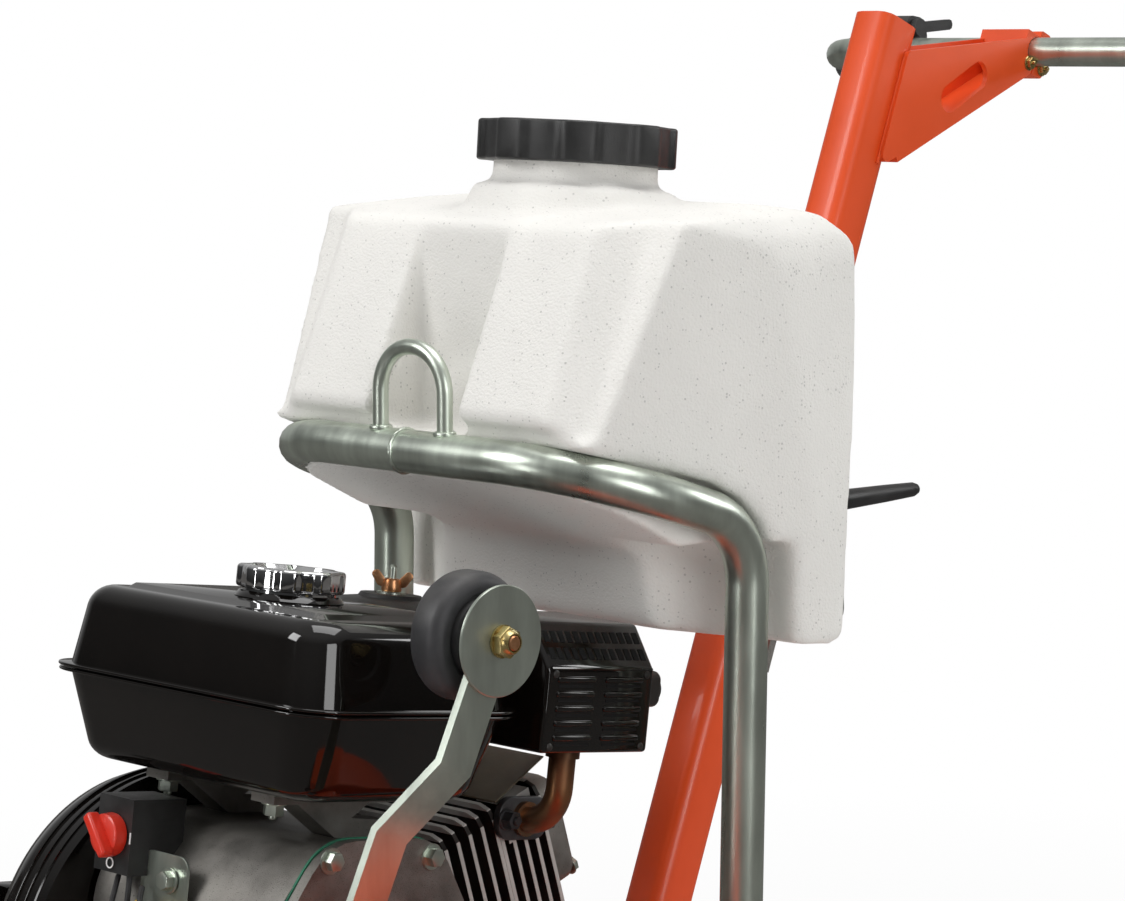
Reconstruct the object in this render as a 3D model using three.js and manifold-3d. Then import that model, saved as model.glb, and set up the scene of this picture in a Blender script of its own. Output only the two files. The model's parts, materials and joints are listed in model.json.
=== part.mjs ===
// Walk-behind concrete saw with a petrol engine, a water tank held in a bent tube hoop, a leaning
// handle column and a folding cutting guide. Millimetres, +Z up, front of the machine towards -Y,
// the machine's left-hand side (blade side) towards +X. The saw stands in its transport position:
// the front axle is lowered, so the deck is pitched back and the blade is just clear of the floor.
import * as THREE from 'three';
import { mergeVertices } from 'three/addons/utils/BufferGeometryUtils.js';
import Module from 'manifold-3d';

const wasm = await Module();
wasm.setup();

// ---------------------------------------------------------------- driving dimensions
const rad = THREE.MathUtils.degToRad;
const gap = 0.3;                 // between pieces that touch
const running = 0.6;             // between pieces that move past each other

// wheels and stance
const deckPitch = rad(8);        // front raised in the transport position
const rearWheelRadius = 100;
const rearWheelWidth = 46;
const rearWheelX = 173;          // middle of the rear wheel
const rearAxleRadius = 12;
const frontWheelRadius = 75;
const frontWheelWidth = 32;
const frontWheelX = 91;
const frontAxleRadius = 10;

// deck, in the deck's own frame: the rear axle is at y = 0, z = 0
const deckTop = 135;
const deckThickness = 8;
const deckHalfWidth = 135;
const rearDeckHalfWidth = 206;
const deckFront = -562;
const rearDeckFront = -128;
const deckRear = 72;
const railDepth = 52;
const railThickness = 8;

// front axle arm
const armPivotY = -200;
const armPivotZ = 30;
const armLength = 288;           // pivot to front axle
const armPlateX = 62;
const armPlateThickness = 10;
const wheelSides = 24;            // flats round a wheel's tread
const leverRise = rad(13.5);     // lever above level in the transport position
const leverCheekX = 21;
const slotHalfHeight = 9;         // room for the pin to wander off the lever's middle line

// depth screw
const screwRadius = 8;
const nutHalf = 14;
const liftPinRadius = 6;

// handle column
const columnY = -22.7;           // middle of the column's foot on the deck
const columnLean = rad(13.66);   // to the rear, from the deck's normal
const columnWidth = 40;
const columnDepth = 46;
const columnWall = 3;
const columnLength = 912;

// handle bracket and handlebar, in the column's frame: q to the rear, s up the column
const barQ = 175;
const barS = columnLength + 42;
const barRadius = 12.5;
const barHalfWidth = 219;
const barReach = 132;
const barBend = 45;
const barDrop = rad(8);
const gripRadius = 17;
const gripLength = 100;
const bracketHalfWidth = 25;
const bracketSheet = 4.7;

// depth crank
const crankS = 388.6;
const crankThrow = 88;
const crankShaftRadius = 8;
const crankArmOffset = 122;      // arm's distance from the column's middle, along the crank's axis
const crankGripLength = 112;

// roll hoop
const hoopRadius = 16;
const hoopHalfWidth = 188;
const hoopFootY = -65;           // level frame
const hoopKneeY = -56;
const hoopKneeZ = 617;
const hoopBarY = -214;
const hoopBarZ = 669;
const hoopKneeBend = 60;
const hoopCornerBend = 105;
const eyeRodRadius = 6;
const eyeHalfWidth = 34;
const eyeHeight = 77;            // bar's middle to the eye's crown

// water tank
const tankNeckRadius = 63;
const tankNeckY = -43;
const tankNeckZ = 855;           // level frame, where the neck leaves the tank's top
const tankNeckHeight = 43;
const tankNeckLean = rad(4.6);
const tankCapRadius = 76;
const tankCapHeight = 31;
const tankCapTop = 7;            // the cap's thickness over the neck
const tankRearHalfWidth = 213;

// engine, in the deck's frame
const crankY = -400;
const crankZ = 245;
const crankcaseHalfWidth = 95;
const crankcaseFront = -505;
const cylinderTilt = rad(25);    // cylinder above level, towards the rear
const cylinderStart = 110;       // along the cylinder's axis, from the crank
const cylinderEnd = 190;
const headEnd = 238;
const coverEnd = 272;
const finHalfWidth = 66;
const fanRadius = 139;
const fanDepth = 60;
const switchX = -52;
const switchZ = 348;
const recoilRadius = 98;
const recoilDepth = 34;
const fuelHalfWidth = 148;
const fuelFront = -516;
const fuelRear = -300;
const fuelSeam = 458;
const fuelTop = 522;
const fuelBottom = 394;
const fuelCapRadius = 38.5;
const guardFaceX = 140;
const guardInnerX = 34;
const guardFront = -286;
const guardRear = -174;
const guardBottom = 430;
const guardShoulder = 491;
const guardTop = 522;
const sheet = 2;
const portY = -226;              // exhaust flange's middle on the head's side
const portZ = 372;
const pipeX = 105;               // upright stretch of the exhaust pipe
const pipeRadius = 10;
const pipeBend = 28;
const outletX = 116;
const outletZ = 474;
const outletRadius = 11;
const outletReach = 24;          // beyond the guard

// blade drive
const shaftY = -400;
const shaftZ = 84;
const shaftRadius = 15;
const crankshaftRadius = 12.5;
const enginePulleyRadius = 40;
const shaftPulleyRadius = 48;
const pulleyX = 164;
const pulleyWidth = 48;
const beltThickness = 9;
const beltWidth = 42;
const bladeRadius = 225;
const bladeThickness = 3.4;
const bladeX = 230;              // blade's middle plane, and the cutting guide's
const flangeRadius = 50;
const flangeThickness = 10;
const beltGuardOuter = 206;
const bladeGuardInner = 211;
const bladeGuardOuter = 263;
const bladeGuardRadius = 247;
const bladeGuardSheet = 3;
const guardHubRadius = 30;

// cutting guide
const guidePivotY = -551;
const guidePivotZ = 150;
const guideLean = rad(18.5);
const guideLength = 389;
const guideWidth = 30;
const guideThickness = 6;
const guideLowerX = 187;
const guideUpperX = 223.5;
const guideBendLow = 247;
const guideBendHigh = 300;
const guideBoltRadius = 6;
const guideDiscRadius = 37.5;
const guideDiscThickness = 2.5;
const guideWheelRadius = 44;
const guideWheelWidth = 30;
const guideWheelX = guideUpperX - guideThickness / 2 - 23.5;

// ---------------------------------------------------------------- materials
const finish = (color, roughness, metalness) => new THREE.MeshStandardMaterial({ color, roughness, metalness });
const orange = finish(0xe8481c, 0.4, 0.1);
const zinc = finish(0xa9b3a8, 0.38, 0.9);
const yellowZinc = finish(0xc9a24a, 0.35, 0.9);
const castAluminium = finish(0x8f8c84, 0.5, 0.8);
const blackPaint = finish(0x14100f, 0.12, 0.2);
const satinBlack = finish(0x1d1b1a, 0.5, 0.4);
const finBlack = finish(0x2a2625, 0.45, 0.5);
const chrome = finish(0xd8d8da, 0.08, 1.0);
const whitePlastic = finish(0xecebe6, 0.75, 0.0);
const blackPlastic = finish(0x171717, 0.5, 0.0);
const redPlastic = finish(0xd03a26, 0.4, 0.0);
const rubber = finish(0x2b2b2c, 0.8, 0.0);
const greyRubber = finish(0x4a4a4d, 0.6, 0.0);
const heatedSteel = finish(0x7a4a24, 0.4, 0.9);
const brightSteel = finish(0x9a9c9e, 0.3, 0.95);
const darkSteel = finish(0x55565a, 0.45, 0.9);

// ---------------------------------------------------------------- solids from three.js shapes
function solid(geometry) {
  const bare = geometry.clone();
  bare.deleteAttribute('normal');
  bare.deleteAttribute('uv');
  const merged = mergeVertices(bare, 1e-4);
  const position = merged.attributes.position;
  const corners = [0, 1, 2].map(() => new THREE.Vector3());
  const triangles = [];
  let volume = 0;
  for (let i = 0; i < merged.index.count; i += 3) {
    const ids = [0, 1, 2].map((k) => merged.index.getX(i + k));
    if (ids[0] === ids[1] || ids[1] === ids[2] || ids[2] === ids[0]) continue;
    ids.forEach((id, k) => corners[k].fromBufferAttribute(position, id));
    volume += corners[0].dot(corners[1].clone().cross(corners[2]));
    triangles.push(ids);
  }
  const outward = volume > 0 ? triangles : triangles.map(([a, b, c]) => [a, c, b]);
  const mesh = new wasm.Mesh({
    numProp: 3,
    vertProperties: Float32Array.from(position.array),
    triVerts: Uint32Array.from(outward.flat()),
  });
  return new wasm.Manifold(mesh);
}

function geometryOf(body) {
  const mesh = body.getMesh();
  const geometry = new THREE.BufferGeometry();
  geometry.setAttribute('position', new THREE.BufferAttribute(new Float32Array(mesh.vertProperties), 3));
  geometry.setIndex(new THREE.BufferAttribute(new Uint32Array(mesh.triVerts), 1));
  geometry.computeVertexNormals();
  return geometry;
}

const join = (...bodies) => bodies.reduce((all, next) => all.add(next));
const cut = (body, ...tools) => tools.reduce((left, tool) => left.subtract(tool), body);
const common = (...bodies) => bodies.reduce((all, next) => all.intersect(next));

function box(x, y, z) {
  const geometry = new THREE.BoxGeometry(x[1] - x[0], y[1] - y[0], z[1] - z[0]);
  geometry.translate((x[0] + x[1]) / 2, (y[0] + y[1]) / 2, (z[0] + z[1]) / 2);
  return solid(geometry);
}

// points of an outline whose corners [u, v, radius] are rounded by arcs
function rounded(corners, steps = 3) {
  const count = corners.length;
  return corners.flatMap(([u, v, radius], i) => {
    const here = new THREE.Vector2(u, v);
    if (!radius) return [here];
    const before = new THREE.Vector2(...corners[(i + count - 1) % count]).sub(here).normalize();
    const after = new THREE.Vector2(...corners[(i + 1) % count]).sub(here).normalize();
    const half = Math.acos(THREE.MathUtils.clamp(before.dot(after), -1, 1)) / 2;
    const centre = before.clone().add(after).normalize().multiplyScalar(radius / Math.sin(half)).add(here);
    const start = before.clone().multiplyScalar(radius / Math.tan(half)).add(here).sub(centre);
    const end = after.clone().multiplyScalar(radius / Math.tan(half)).add(here).sub(centre);
    const turn = Math.atan2(start.cross(end), start.dot(end));
    const arc = (k) => start.clone().rotateAround(new THREE.Vector2(), (turn * k) / steps).add(centre);
    return Array.from({ length: steps + 1 }, (_, k) => arc(k));
  });
}

function circle(u, v, radius, count = 24) {
  const point = (k) => {
    const angle = ((k + 0.5) * 2 * Math.PI) / count;
    return new THREE.Vector2(u + radius * Math.cos(angle), v + radius * Math.sin(angle));
  };
  return Array.from({ length: count }, (_, k) => point(k));
}

// two circles on one X axis line joined by their outer tangents: a belt's path or its cover
function capsule(low, high, lowRadius, highRadius, steps = 12) {
  const spread = Math.asin((lowRadius - highRadius) / (high[1] - low[1]));
  const arc = (centre, radius, from, to) => Array.from({ length: steps + 1 }, (_, k) => {
    const angle = from + ((to - from) * k) / steps;
    return new THREE.Vector2(centre[0] + radius * Math.cos(angle), centre[1] + radius * Math.sin(angle));
  });
  const lower = arc(low, lowRadius, Math.PI - spread, 2 * Math.PI + spread);
  const upper = arc(high, highRadius, spread, Math.PI - spread);
  return [...lower, ...upper];
}

// outline extruded along an axis: x takes (y, z) points, y takes (x, z) and z takes (x, y)
function prism(axis, outline, from, to, { holes = [], bevel = 0, bevelDepth = 0, bevelSteps = 3 } = {}) {
  const shape = new THREE.Shape(outline);
  holes.forEach((hole) => shape.holes.push(new THREE.Path(hole)));
  const geometry = new THREE.ExtrudeGeometry(shape, {
    depth: to - from - 2 * bevelDepth,
    bevelEnabled: bevel > 0,
    bevelSize: bevel,
    bevelOffset: -bevel,
    bevelThickness: bevelDepth,
    bevelSegments: bevelSteps,
  });
  geometry.translate(0, 0, bevelDepth);
  const place = new THREE.Matrix4();
  if (axis === 'x') place.set(0, 0, 1, from, 1, 0, 0, 0, 0, 1, 0, 0, 0, 0, 0, 1);
  if (axis === 'y') place.set(1, 0, 0, 0, 0, 0, -1, to, 0, 1, 0, 0, 0, 0, 0, 1);
  if (axis === 'z') place.makeTranslation(0, 0, from);
  return solid(geometry.applyMatrix4(place));
}

const rod = (axis, centre, radius, from, to, count = 16) =>
  prism(axis, circle(centre[0], centre[1], radius, count), from, to);
// a round hole whose flats stay clear of a round piece of the given radius
const bore = (axis, centre, radius, from, to, clearance = running, count = 16) =>
  rod(axis, centre, (radius + clearance) / Math.cos(Math.PI / count), from, to, count);

// profile [radius, x] turned about an X axis line; a flat of the turned face lies at the bottom
function turned(profile, y, z, count = 24) {
  const points = profile.map(([radius, along]) => new THREE.Vector2(radius, along));
  const geometry = new THREE.LatheGeometry(points, count, Math.PI / count);
  geometry.rotateZ(-Math.PI / 2);
  geometry.translate(0, y, z);
  return solid(geometry);
}

// centre line through corner points with circular bends
class BentPath extends THREE.Curve {
  constructor(corners, steps = 6) {
    super();
    this.points = corners.flatMap(([x, y, z, radius], i) => {
      const here = new THREE.Vector3(x, y, z);
      if (!radius) return [here];
      const before = new THREE.Vector3(...corners[i - 1]).sub(here).normalize();
      const after = new THREE.Vector3(...corners[i + 1]).sub(here).normalize();
      const half = before.angleTo(after) / 2;
      const middle = before.clone().add(after).normalize();
      const centre = middle.clone().multiplyScalar(radius / Math.sin(half)).add(here);
      const start = before.clone().multiplyScalar(radius / Math.tan(half)).add(here).sub(centre);
      const axis = before.clone().cross(after).normalize();
      const turn = Math.PI - 2 * half;
      const at = (k) => start.clone().applyAxisAngle(axis, -(turn * k) / steps).add(centre);
      return Array.from({ length: steps + 1 }, (_, k) => at(k));
    });
  }

  get steps() {
    return this.points.length - 1;
  }

  getPoint(t) {
    const along = THREE.MathUtils.clamp(t, 0, 1) * this.steps;
    const index = Math.min(Math.floor(along), this.steps - 1);
    return this.points[index].clone().lerp(this.points[index + 1], along - index);
  }

  getUtoTmapping(u) {
    return u;
  }
}

function tube(path, radius, sides = 12) {
  const shape = new THREE.Shape(circle(0, 0, radius, sides));
  return solid(new THREE.ExtrudeGeometry(shape, { extrudePath: path, steps: path.steps, bevelEnabled: false }));
}

// ---------------------------------------------------------------- frames
const saw = new THREE.Group();
const machine = new THREE.Group();
machine.position.set(0, 0, rearWheelRadius);
saw.add(machine);

const deck = new THREE.Group();
deck.rotation.x = -deckPitch;
machine.add(deck);

// level frame, with its origin on the rear axle as the deck's is
const tower = new THREE.Group();
machine.add(tower);

const column = new THREE.Group();
column.position.set(0, columnY, deckTop + gap);
column.rotation.x = -columnLean;
deck.add(column);

const level = (y, z) => [
  y * Math.cos(deckPitch) + z * Math.sin(deckPitch),
  -y * Math.sin(deckPitch) + z * Math.cos(deckPitch),
];
const onDeck = (y, z) => [
  y * Math.cos(deckPitch) - z * Math.sin(deckPitch),
  y * Math.sin(deckPitch) + z * Math.cos(deckPitch),
];
const onColumn = (y, z) => {
  const [dy, dz] = onDeck(y, z);
  const [q, s] = [dy - columnY, dz - deckTop - gap];
  return [
    q * Math.cos(columnLean) - s * Math.sin(columnLean),
    q * Math.sin(columnLean) + s * Math.cos(columnLean),
  ];
};

function part(name, body, material, parent = deck) {
  const mesh = new THREE.Mesh(geometryOf(body), material);
  mesh.name = name;
  parent.add(mesh);
  return mesh;
}

// everything under the deck's top face, as a tool in the level frame
function belowDeck() {
  const size = 1500;
  const geometry = new THREE.BoxGeometry(size, size, size);
  geometry.translate(0, 0, deckTop + gap - size / 2);
  geometry.rotateX(-deckPitch);
  return solid(geometry);
}

// ---------------------------------------------------------------- deck
const screwAt = (z) => columnY + (z - deckTop) * Math.tan(columnLean);
const pivotLugX = armPlateX + armPlateThickness + 1;
const hangerX = 122;

function deckFrame() {
  const low = deckTop - deckThickness;
  const plate = join(
    prism('z', rounded([[-deckHalfWidth, deckFront, 12], [deckHalfWidth, deckFront, 12],
      [deckHalfWidth, deckRear, 0], [-deckHalfWidth, deckRear, 0]], 3), low, deckTop),
    prism('z', rounded([[-rearDeckHalfWidth, rearDeckFront, 15], [rearDeckHalfWidth, rearDeckFront, 15],
      [rearDeckHalfWidth, deckRear, 15], [-rearDeckHalfWidth, deckRear, 15]], 3), low, deckTop),
  );
  const sides = [-1, 1].map((side) => {
    const span = (near, far) => (side > 0 ? [near, far] : [-far, -near]);
    const rail = box(span(deckHalfWidth - railThickness, deckHalfWidth),
      [deckFront + 14, rearDeckFront - 10], [low - railDepth, low + 1]);
    const lug = prism('x', rounded([[armPivotY - 34, low + 1, 0], [armPivotY - 26, armPivotZ - 22, 18],
      [armPivotY + 26, armPivotZ - 22, 18], [armPivotY + 34, low + 1, 0]], 4), ...span(pivotLugX, pivotLugX + 8));
    const hanger = prism('x', rounded([[-45, low + 1, 0], [-26, -26, 20], [26, -26, 20], [45, low + 1, 0]], 4),
      ...span(hangerX, hangerX + 8));
    return join(rail, lug, hanger);
  });
  const guideLug = prism('x', rounded([[guidePivotY - 10, deckTop - 1, 0], [guidePivotY + 24, deckTop - 1, 0],
    [guidePivotY + 14, guidePivotZ + 14, 12], [guidePivotY - 10, guidePivotZ + 14, 12]], 4),
    deckHalfWidth - 40, guideLowerX - guideThickness / 2 - gap);
  const crossMember = box([-56, 56], [deckFront + 14, deckFront + 22], [low - railDepth, low + 1]);
  const screwSlot = box([-16, 16], [screwAt(low) - 18, screwAt(deckTop) + 18], [low - 2, deckTop + 2]);
  return cut(join(plate, ...sides, guideLug, crossMember), screwSlot,
    bore('x', [shaftY, shaftZ], shaftRadius, -deckHalfWidth - 5, deckHalfWidth + 5, 4),
    bore('x', [armPivotY, armPivotZ], frontAxleRadius, -130, 130),
    bore('x', [0, 0], rearAxleRadius, -200, 200, gap),
    bore('x', [guidePivotY, guidePivotZ], guideBoltRadius, 60, 200, gap));
}
part('deck_frame', deckFrame(), orange);

// ---------------------------------------------------------------- wheels and axles
function wheel(radius, width, axle, hubHalf) {
  const outer = radius / Math.cos(Math.PI / wheelSides);
  const half = width / 2;
  const edge = 6;
  const inner = (axle + running) / Math.cos(Math.PI / wheelSides);
  return turned([[inner, -hubHalf], [axle + 9, -hubHalf], [axle + 9, -half],
    [outer - edge, -half], [outer, -half + edge], [outer, half - edge], [outer - edge, half],
    [axle + 9, half], [axle + 9, hubHalf], [inner, hubHalf], [inner, -hubHalf]], 0, 0, wheelSides);
}

for (const [side, sign] of [['left', 1], ['right', -1]]) {
  const rear = part(`rear_wheel_${side}`, wheel(rearWheelRadius, rearWheelWidth, rearAxleRadius, rearWheelWidth / 2 + 2),
    rubber, machine);
  rear.position.x = sign * rearWheelX;
}

const rearAxleEnd = rearWheelX + rearWheelWidth / 2 + 12;
part('rear_axle', join(
  rod('x', [0, 0], rearAxleRadius, -rearAxleEnd, rearAxleEnd),
  ...[-1, 1].map((side) => {
    const inner = rearWheelX - rearWheelWidth / 2 - 2 - running;
    const collar = (from, to) => rod('x', [0, 0], rearAxleRadius + 7, Math.min(side * from, side * to),
      Math.max(side * from, side * to));
    return join(collar(hangerX + 8 + gap, inner), collar(rearAxleEnd - 12 + 2 + running, rearAxleEnd - 2));
  }),
), darkSteel);

// ---------------------------------------------------------------- front axle arm
// lever's length at which its pin lies on the depth screw's axis in the transport position
const leverReach = (columnY - armPivotY + (armPivotZ - deckTop - gap) * Math.tan(columnLean))
  / (Math.cos(leverRise) - Math.sin(leverRise) * Math.tan(columnLean));
// arm's angle below the deck at which the front wheels stand on the floor
const dropToFloor = rearWheelRadius - frontWheelRadius
  - armPivotY * Math.sin(deckPitch) + armPivotZ * Math.cos(deckPitch);
const armAngle = deckPitch + Math.asin(dropToFloor / armLength);

function swingArm() {
  const wheelReach = frontWheelX - frontWheelWidth / 2 - running;
  const plates = [-1, 1].map((side) => {
    const span = side > 0 ? [armPlateX, armPlateX + armPlateThickness] : [-armPlateX - armPlateThickness, -armPlateX];
    return prism('x', rounded([[-armLength - 18, -16, 14], [-armLength - 18, 16, 14], [-40, 22, 10],
      [20, 22, 14], [20, -20, 14], [-40, -20, 10]], 4), ...span);
  });
  const axleEnd = frontWheelX + frontWheelWidth / 2 + 8;
  const axle = join(rod('x', [-armLength, 0], frontAxleRadius, -axleEnd, axleEnd),
    rod('x', [-armLength, 0], frontAxleRadius + 7, -wheelReach + 2, wheelReach - 2),
    ...[-1, 1].map((side) => {
      const ends = [side * (axleEnd - 5), side * axleEnd].sort((a, b) => a - b);
      return rod('x', [-armLength, 0], frontAxleRadius + 6, ...ends);
    }));
  const pivotTube = rod('x', [0, 0], frontAxleRadius + 9, -armPlateX - armPlateThickness, armPlateX + armPlateThickness);
  const pivotPin = rod('x', [0, 0], frontAxleRadius, -pivotLugX - 14, pivotLugX + 14);
  const leverTilt = leverRise - armAngle;
  const lever = [-1, 1].map((side) => {
    const span = side > 0 ? [leverCheekX - 3, leverCheekX + 4] : [-leverCheekX - 4, -leverCheekX + 3];
    const outline = rounded([[-20, -18, 10], [leverReach + 15, -15, 13], [leverReach + 15, 15, 13], [-20, 18, 10]], 4);
    const slot = rounded([[leverReach - 30, -slotHalfHeight, 6.5], [leverReach + 9, -slotHalfHeight, 6.5],
      [leverReach + 9, slotHalfHeight, 6.5], [leverReach - 30, slotHalfHeight, 6.5]], 4);
    return prism('x', outline, ...span, { holes: [slot.reverse()] });
  });
  const turn = (body, angle) => {
    const geometry = geometryOf(body);
    geometry.rotateX(angle);
    return solid(geometry);
  };
  return join(...plates, axle, pivotTube, pivotPin, turn(join(...lever), leverTilt));
}
const arm = part('swing_arm', swingArm(), darkSteel);
arm.position.set(0, armPivotY, armPivotZ);
arm.rotation.x = armAngle;

const frontAxleAt = level(armPivotY - armLength * Math.cos(armAngle), armPivotZ - armLength * Math.sin(armAngle));
for (const [side, sign] of [['left', 1], ['right', -1]]) {
  const front = part(`front_wheel_${side}`, wheel(frontWheelRadius, frontWheelWidth, frontAxleRadius, frontWheelWidth / 2 + 2),
    rubber, machine);
  front.position.set(sign * frontWheelX, ...frontAxleAt);
}

// ---------------------------------------------------------------- handle column, screw and crank
const columnHalfDepth = columnDepth / 2;
function columnSection(inset) {
  const [w, d] = [columnWidth / 2 - inset, columnHalfDepth - inset];
  const radius = 11 - inset;
  return rounded([[-w, -d, radius], [w, -d, radius], [w, d, radius], [-w, d, radius]], 3);
}

// unit direction of the crank's axis in the column's frame: level, to the rear
const crankLean = deckPitch + columnLean;
const crankAxisPoint = (along, out = 0) => [
  along * Math.cos(crankLean) - out * Math.sin(crankLean),
  crankS + along * Math.sin(crankLean) + out * Math.cos(crankLean),
];
function alongCrank(body) {
  const geometry = geometryOf(body);
  geometry.rotateX(crankLean);
  geometry.translate(0, 0, crankS);
  return solid(geometry);
}

function handleColumn() {
  const foot = deckThickness;
  const lift = foot / Math.cos(columnLean);
  const pipe = prism('z', columnSection(0), -columnDepth, columnLength, { holes: [columnSection(columnWall).reverse()] });
  const crown = prism('z', columnSection(1), columnLength - 4, columnLength);
  const plate = box([-60, 60], [-52, 52], [0, foot]);
  const tilt = (body) => {
    const geometry = geometryOf(body);
    geometry.rotateX(columnLean);
    return solid(geometry);
  };
  const below = tilt(box([-200, 200], [-200, 200], [-200, 0]));
  const opening = prism('z', columnSection(columnWall), -30, lift + 6);
  const seat = prism('z', columnSection(1), lift + 7, lift + 13);
  const screwHole = bore('z', [0, 0], screwRadius, -30, lift + 20);
  const shaftHole = alongCrank(bore('y', [0, 0], crankShaftRadius, 5, 60, 1));
  return cut(join(cut(pipe, below), crown, cut(tilt(plate), opening), seat), shaftHole, screwHole);
}
part('handle_column', handleColumn(), orange, column);

const gearRadius = 12;
function depthScrew() {
  const low = -170;
  const stem = rod('z', [0, 0], screwRadius, low, crankS - 30, 16);
  const gear = solid(new THREE.CylinderGeometry(gearRadius - 6, gearRadius, 10, 20).rotateX(Math.PI / 2)
    .translate(0, 0, crankS - 27));
  const seatTop = deckThickness / Math.cos(columnLean) + 13;
  const thrustWasher = rod('z', [0, 0], 14, seatTop + gap, seatTop + 5, 20);
  return join(stem, gear, thrustWasher);
}
part('depth_screw', depthScrew(), zinc, column);

// lift nut hangs on the screw below the deck; its pins work in the arm lever's slots
const leverTip = [
  armPivotY + leverReach * Math.cos(leverRise),
  armPivotZ + leverReach * Math.sin(leverRise),
];
const nutZ = (leverTip[1] - deckTop - gap) / Math.cos(columnLean);
part('lift_nut', cut(join(
  box([-nutHalf, nutHalf], [-nutHalf, nutHalf], [nutZ - 16, nutZ + 16]),
  rod('x', [0, nutZ], liftPinRadius, -leverCheekX - 9, leverCheekX + 9, 16),
), bore('z', [0, 0], screwRadius, nutZ - 20, nutZ + 20, 0.4, 16)), yellowZinc, column);

const columnRear = columnHalfDepth / Math.cos(crankLean);
function crankBearing() {
  const housing = rod('y', [0, 0], 20, columnRear - 12, columnRear + 62, 24);
  const flange = box([-26, 26], [columnHalfDepth + gap, columnHalfDepth + 8], [crankS - 30, crankS + 42]);
  const columnSpace = box([-60, 60], [-60, columnHalfDepth + gap], [crankS - 120, crankS + 120]);
  return cut(cut(join(alongCrank(housing), flange), columnSpace),
    alongCrank(bore('y', [0, 0], crankShaftRadius, -40, columnRear + 90, running)));
}
part('crank_bearing', crankBearing(), castAluminium, column);

function depthCrank() {
  const shaft = rod('y', [0, 0], crankShaftRadius, 7, crankArmOffset + 8, 20);
  const armPlate = prism('y', rounded([[-13, -14, 12], [13, -14, 12], [10, crankThrow + 10, 9],
    [-10, crankThrow + 10, 9]], 4), crankArmOffset, crankArmOffset + 8);
  const washer = rod('y', [0, 0], 14, columnRear + 62 + running, columnRear + 66, 20);
  const pin = rod('y', [0, crankThrow], 4, crankArmOffset + 4, crankArmOffset + 90, 12);
  const gear = solid(new THREE.CylinderGeometry(gearRadius - 1, 6, 6, 20).translate(0, 10, 0));
  return alongCrank(join(shaft, armPlate, washer, pin, gear));
}
part('depth_crank', depthCrank(), zinc, column);

function crankGrip() {
  const start = crankArmOffset + 8 + running;
  const end = start + crankGripLength;
  const bore0 = 4 + running;
  const profile = [[bore0, start], [8, start], [8, start + 12], [6.2, end - 6], [4.5, end - 1.5], [0, end],
    [0, start + 84], [bore0, start + 84], [bore0, start]];
  const geometry = new THREE.LatheGeometry(profile.map(([r, h]) => new THREE.Vector2(r, h)), 20);
  geometry.translate(0, 0, crankThrow);
  return alongCrank(solid(geometry));
}
part('crank_grip', crankGrip(), blackPlastic, column);

// ---------------------------------------------------------------- handle bracket and handlebar
const bracketLow = columnLength - 120;
const bracketHigh = columnLength - 23;
const clampHeight = 20;
function handleBracket() {
  const start = columnHalfDepth + gap;
  const split = barQ - gap;
  const lap = columnHalfDepth - 14;
  const outline = rounded([[lap, bracketLow - 6, 6], [split, barS - clampHeight, 10], [split, barS + clampHeight - 6, 4],
    [lap, bracketHigh, 6]], 3);
  const cheeks = [-1, 1].map((side) => {
    const span = [side * bracketHalfWidth, side * (bracketHalfWidth - bracketSheet)].sort((a, b) => a - b);
    return prism('x', outline, ...span);
  });
  const slope = Math.atan2(barS - clampHeight - bracketLow, split - start);
  const webGeometry = new THREE.BoxGeometry(2 * bracketHalfWidth, Math.hypot(split - start, barS - clampHeight - bracketLow) - 14,
    bracketSheet);
  webGeometry.rotateX(slope);
  webGeometry.translate(0, (start + split) / 2, (bracketLow + barS - clampHeight) / 2 + bracketSheet / 2 + 1);
  const saddle = box([-bracketHalfWidth, bracketHalfWidth], [split - 18, split], [barS - clampHeight + 6, barS + clampHeight - 6]);
  const slotShape = rounded([[-34, -12, 11.5], [34, -12, 11.5], [34, 12, 11.5], [-34, 12, 11.5]], 5)
    .map((p) => p.rotateAround(new THREE.Vector2(), rad(47)).add(new THREE.Vector2(barQ - 84, barS - 65)));
  return cut(join(...cheeks, solid(webGeometry), saddle),
    prism('x', slotShape, -40, 40),
    bore('x', [barQ, barS], barRadius, -60, 60, gap),
    box([-bracketHalfWidth + bracketSheet, bracketHalfWidth - bracketSheet], [-60, start], [600, 1100]));
}
part('handle_bracket', handleBracket(), orange, column);

part('handlebar_clamp', cut(
  prism('x', rounded([[barQ + gap, barS - clampHeight, 2], [barQ + 14, barS - clampHeight, 4], [barQ + 19, barS - 8, 6],
    [barQ + 19, barS + 8, 6], [barQ + 14, barS + clampHeight, 4], [barQ + gap, barS + clampHeight, 2]], 3),
  -bracketHalfWidth, bracketHalfWidth),
  bore('x', [barQ, barS], barRadius, -60, 60, gap),
), orange, column);

// handlebar in a frame of its own, level, turning in its clamp
const barFrame = new THREE.Group();
barFrame.position.set(0, barQ, barS);
barFrame.rotation.x = crankLean - barDrop;
column.add(barFrame);
const barPath = new BentPath([[-barHalfWidth, barReach, 0, 0], [-barHalfWidth, 0, 0, barBend],
  [barHalfWidth, 0, 0, barBend], [barHalfWidth, barReach, 0, 0]], 5);
part('handlebar', tube(barPath, barRadius, 14), zinc, barFrame);

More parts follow.
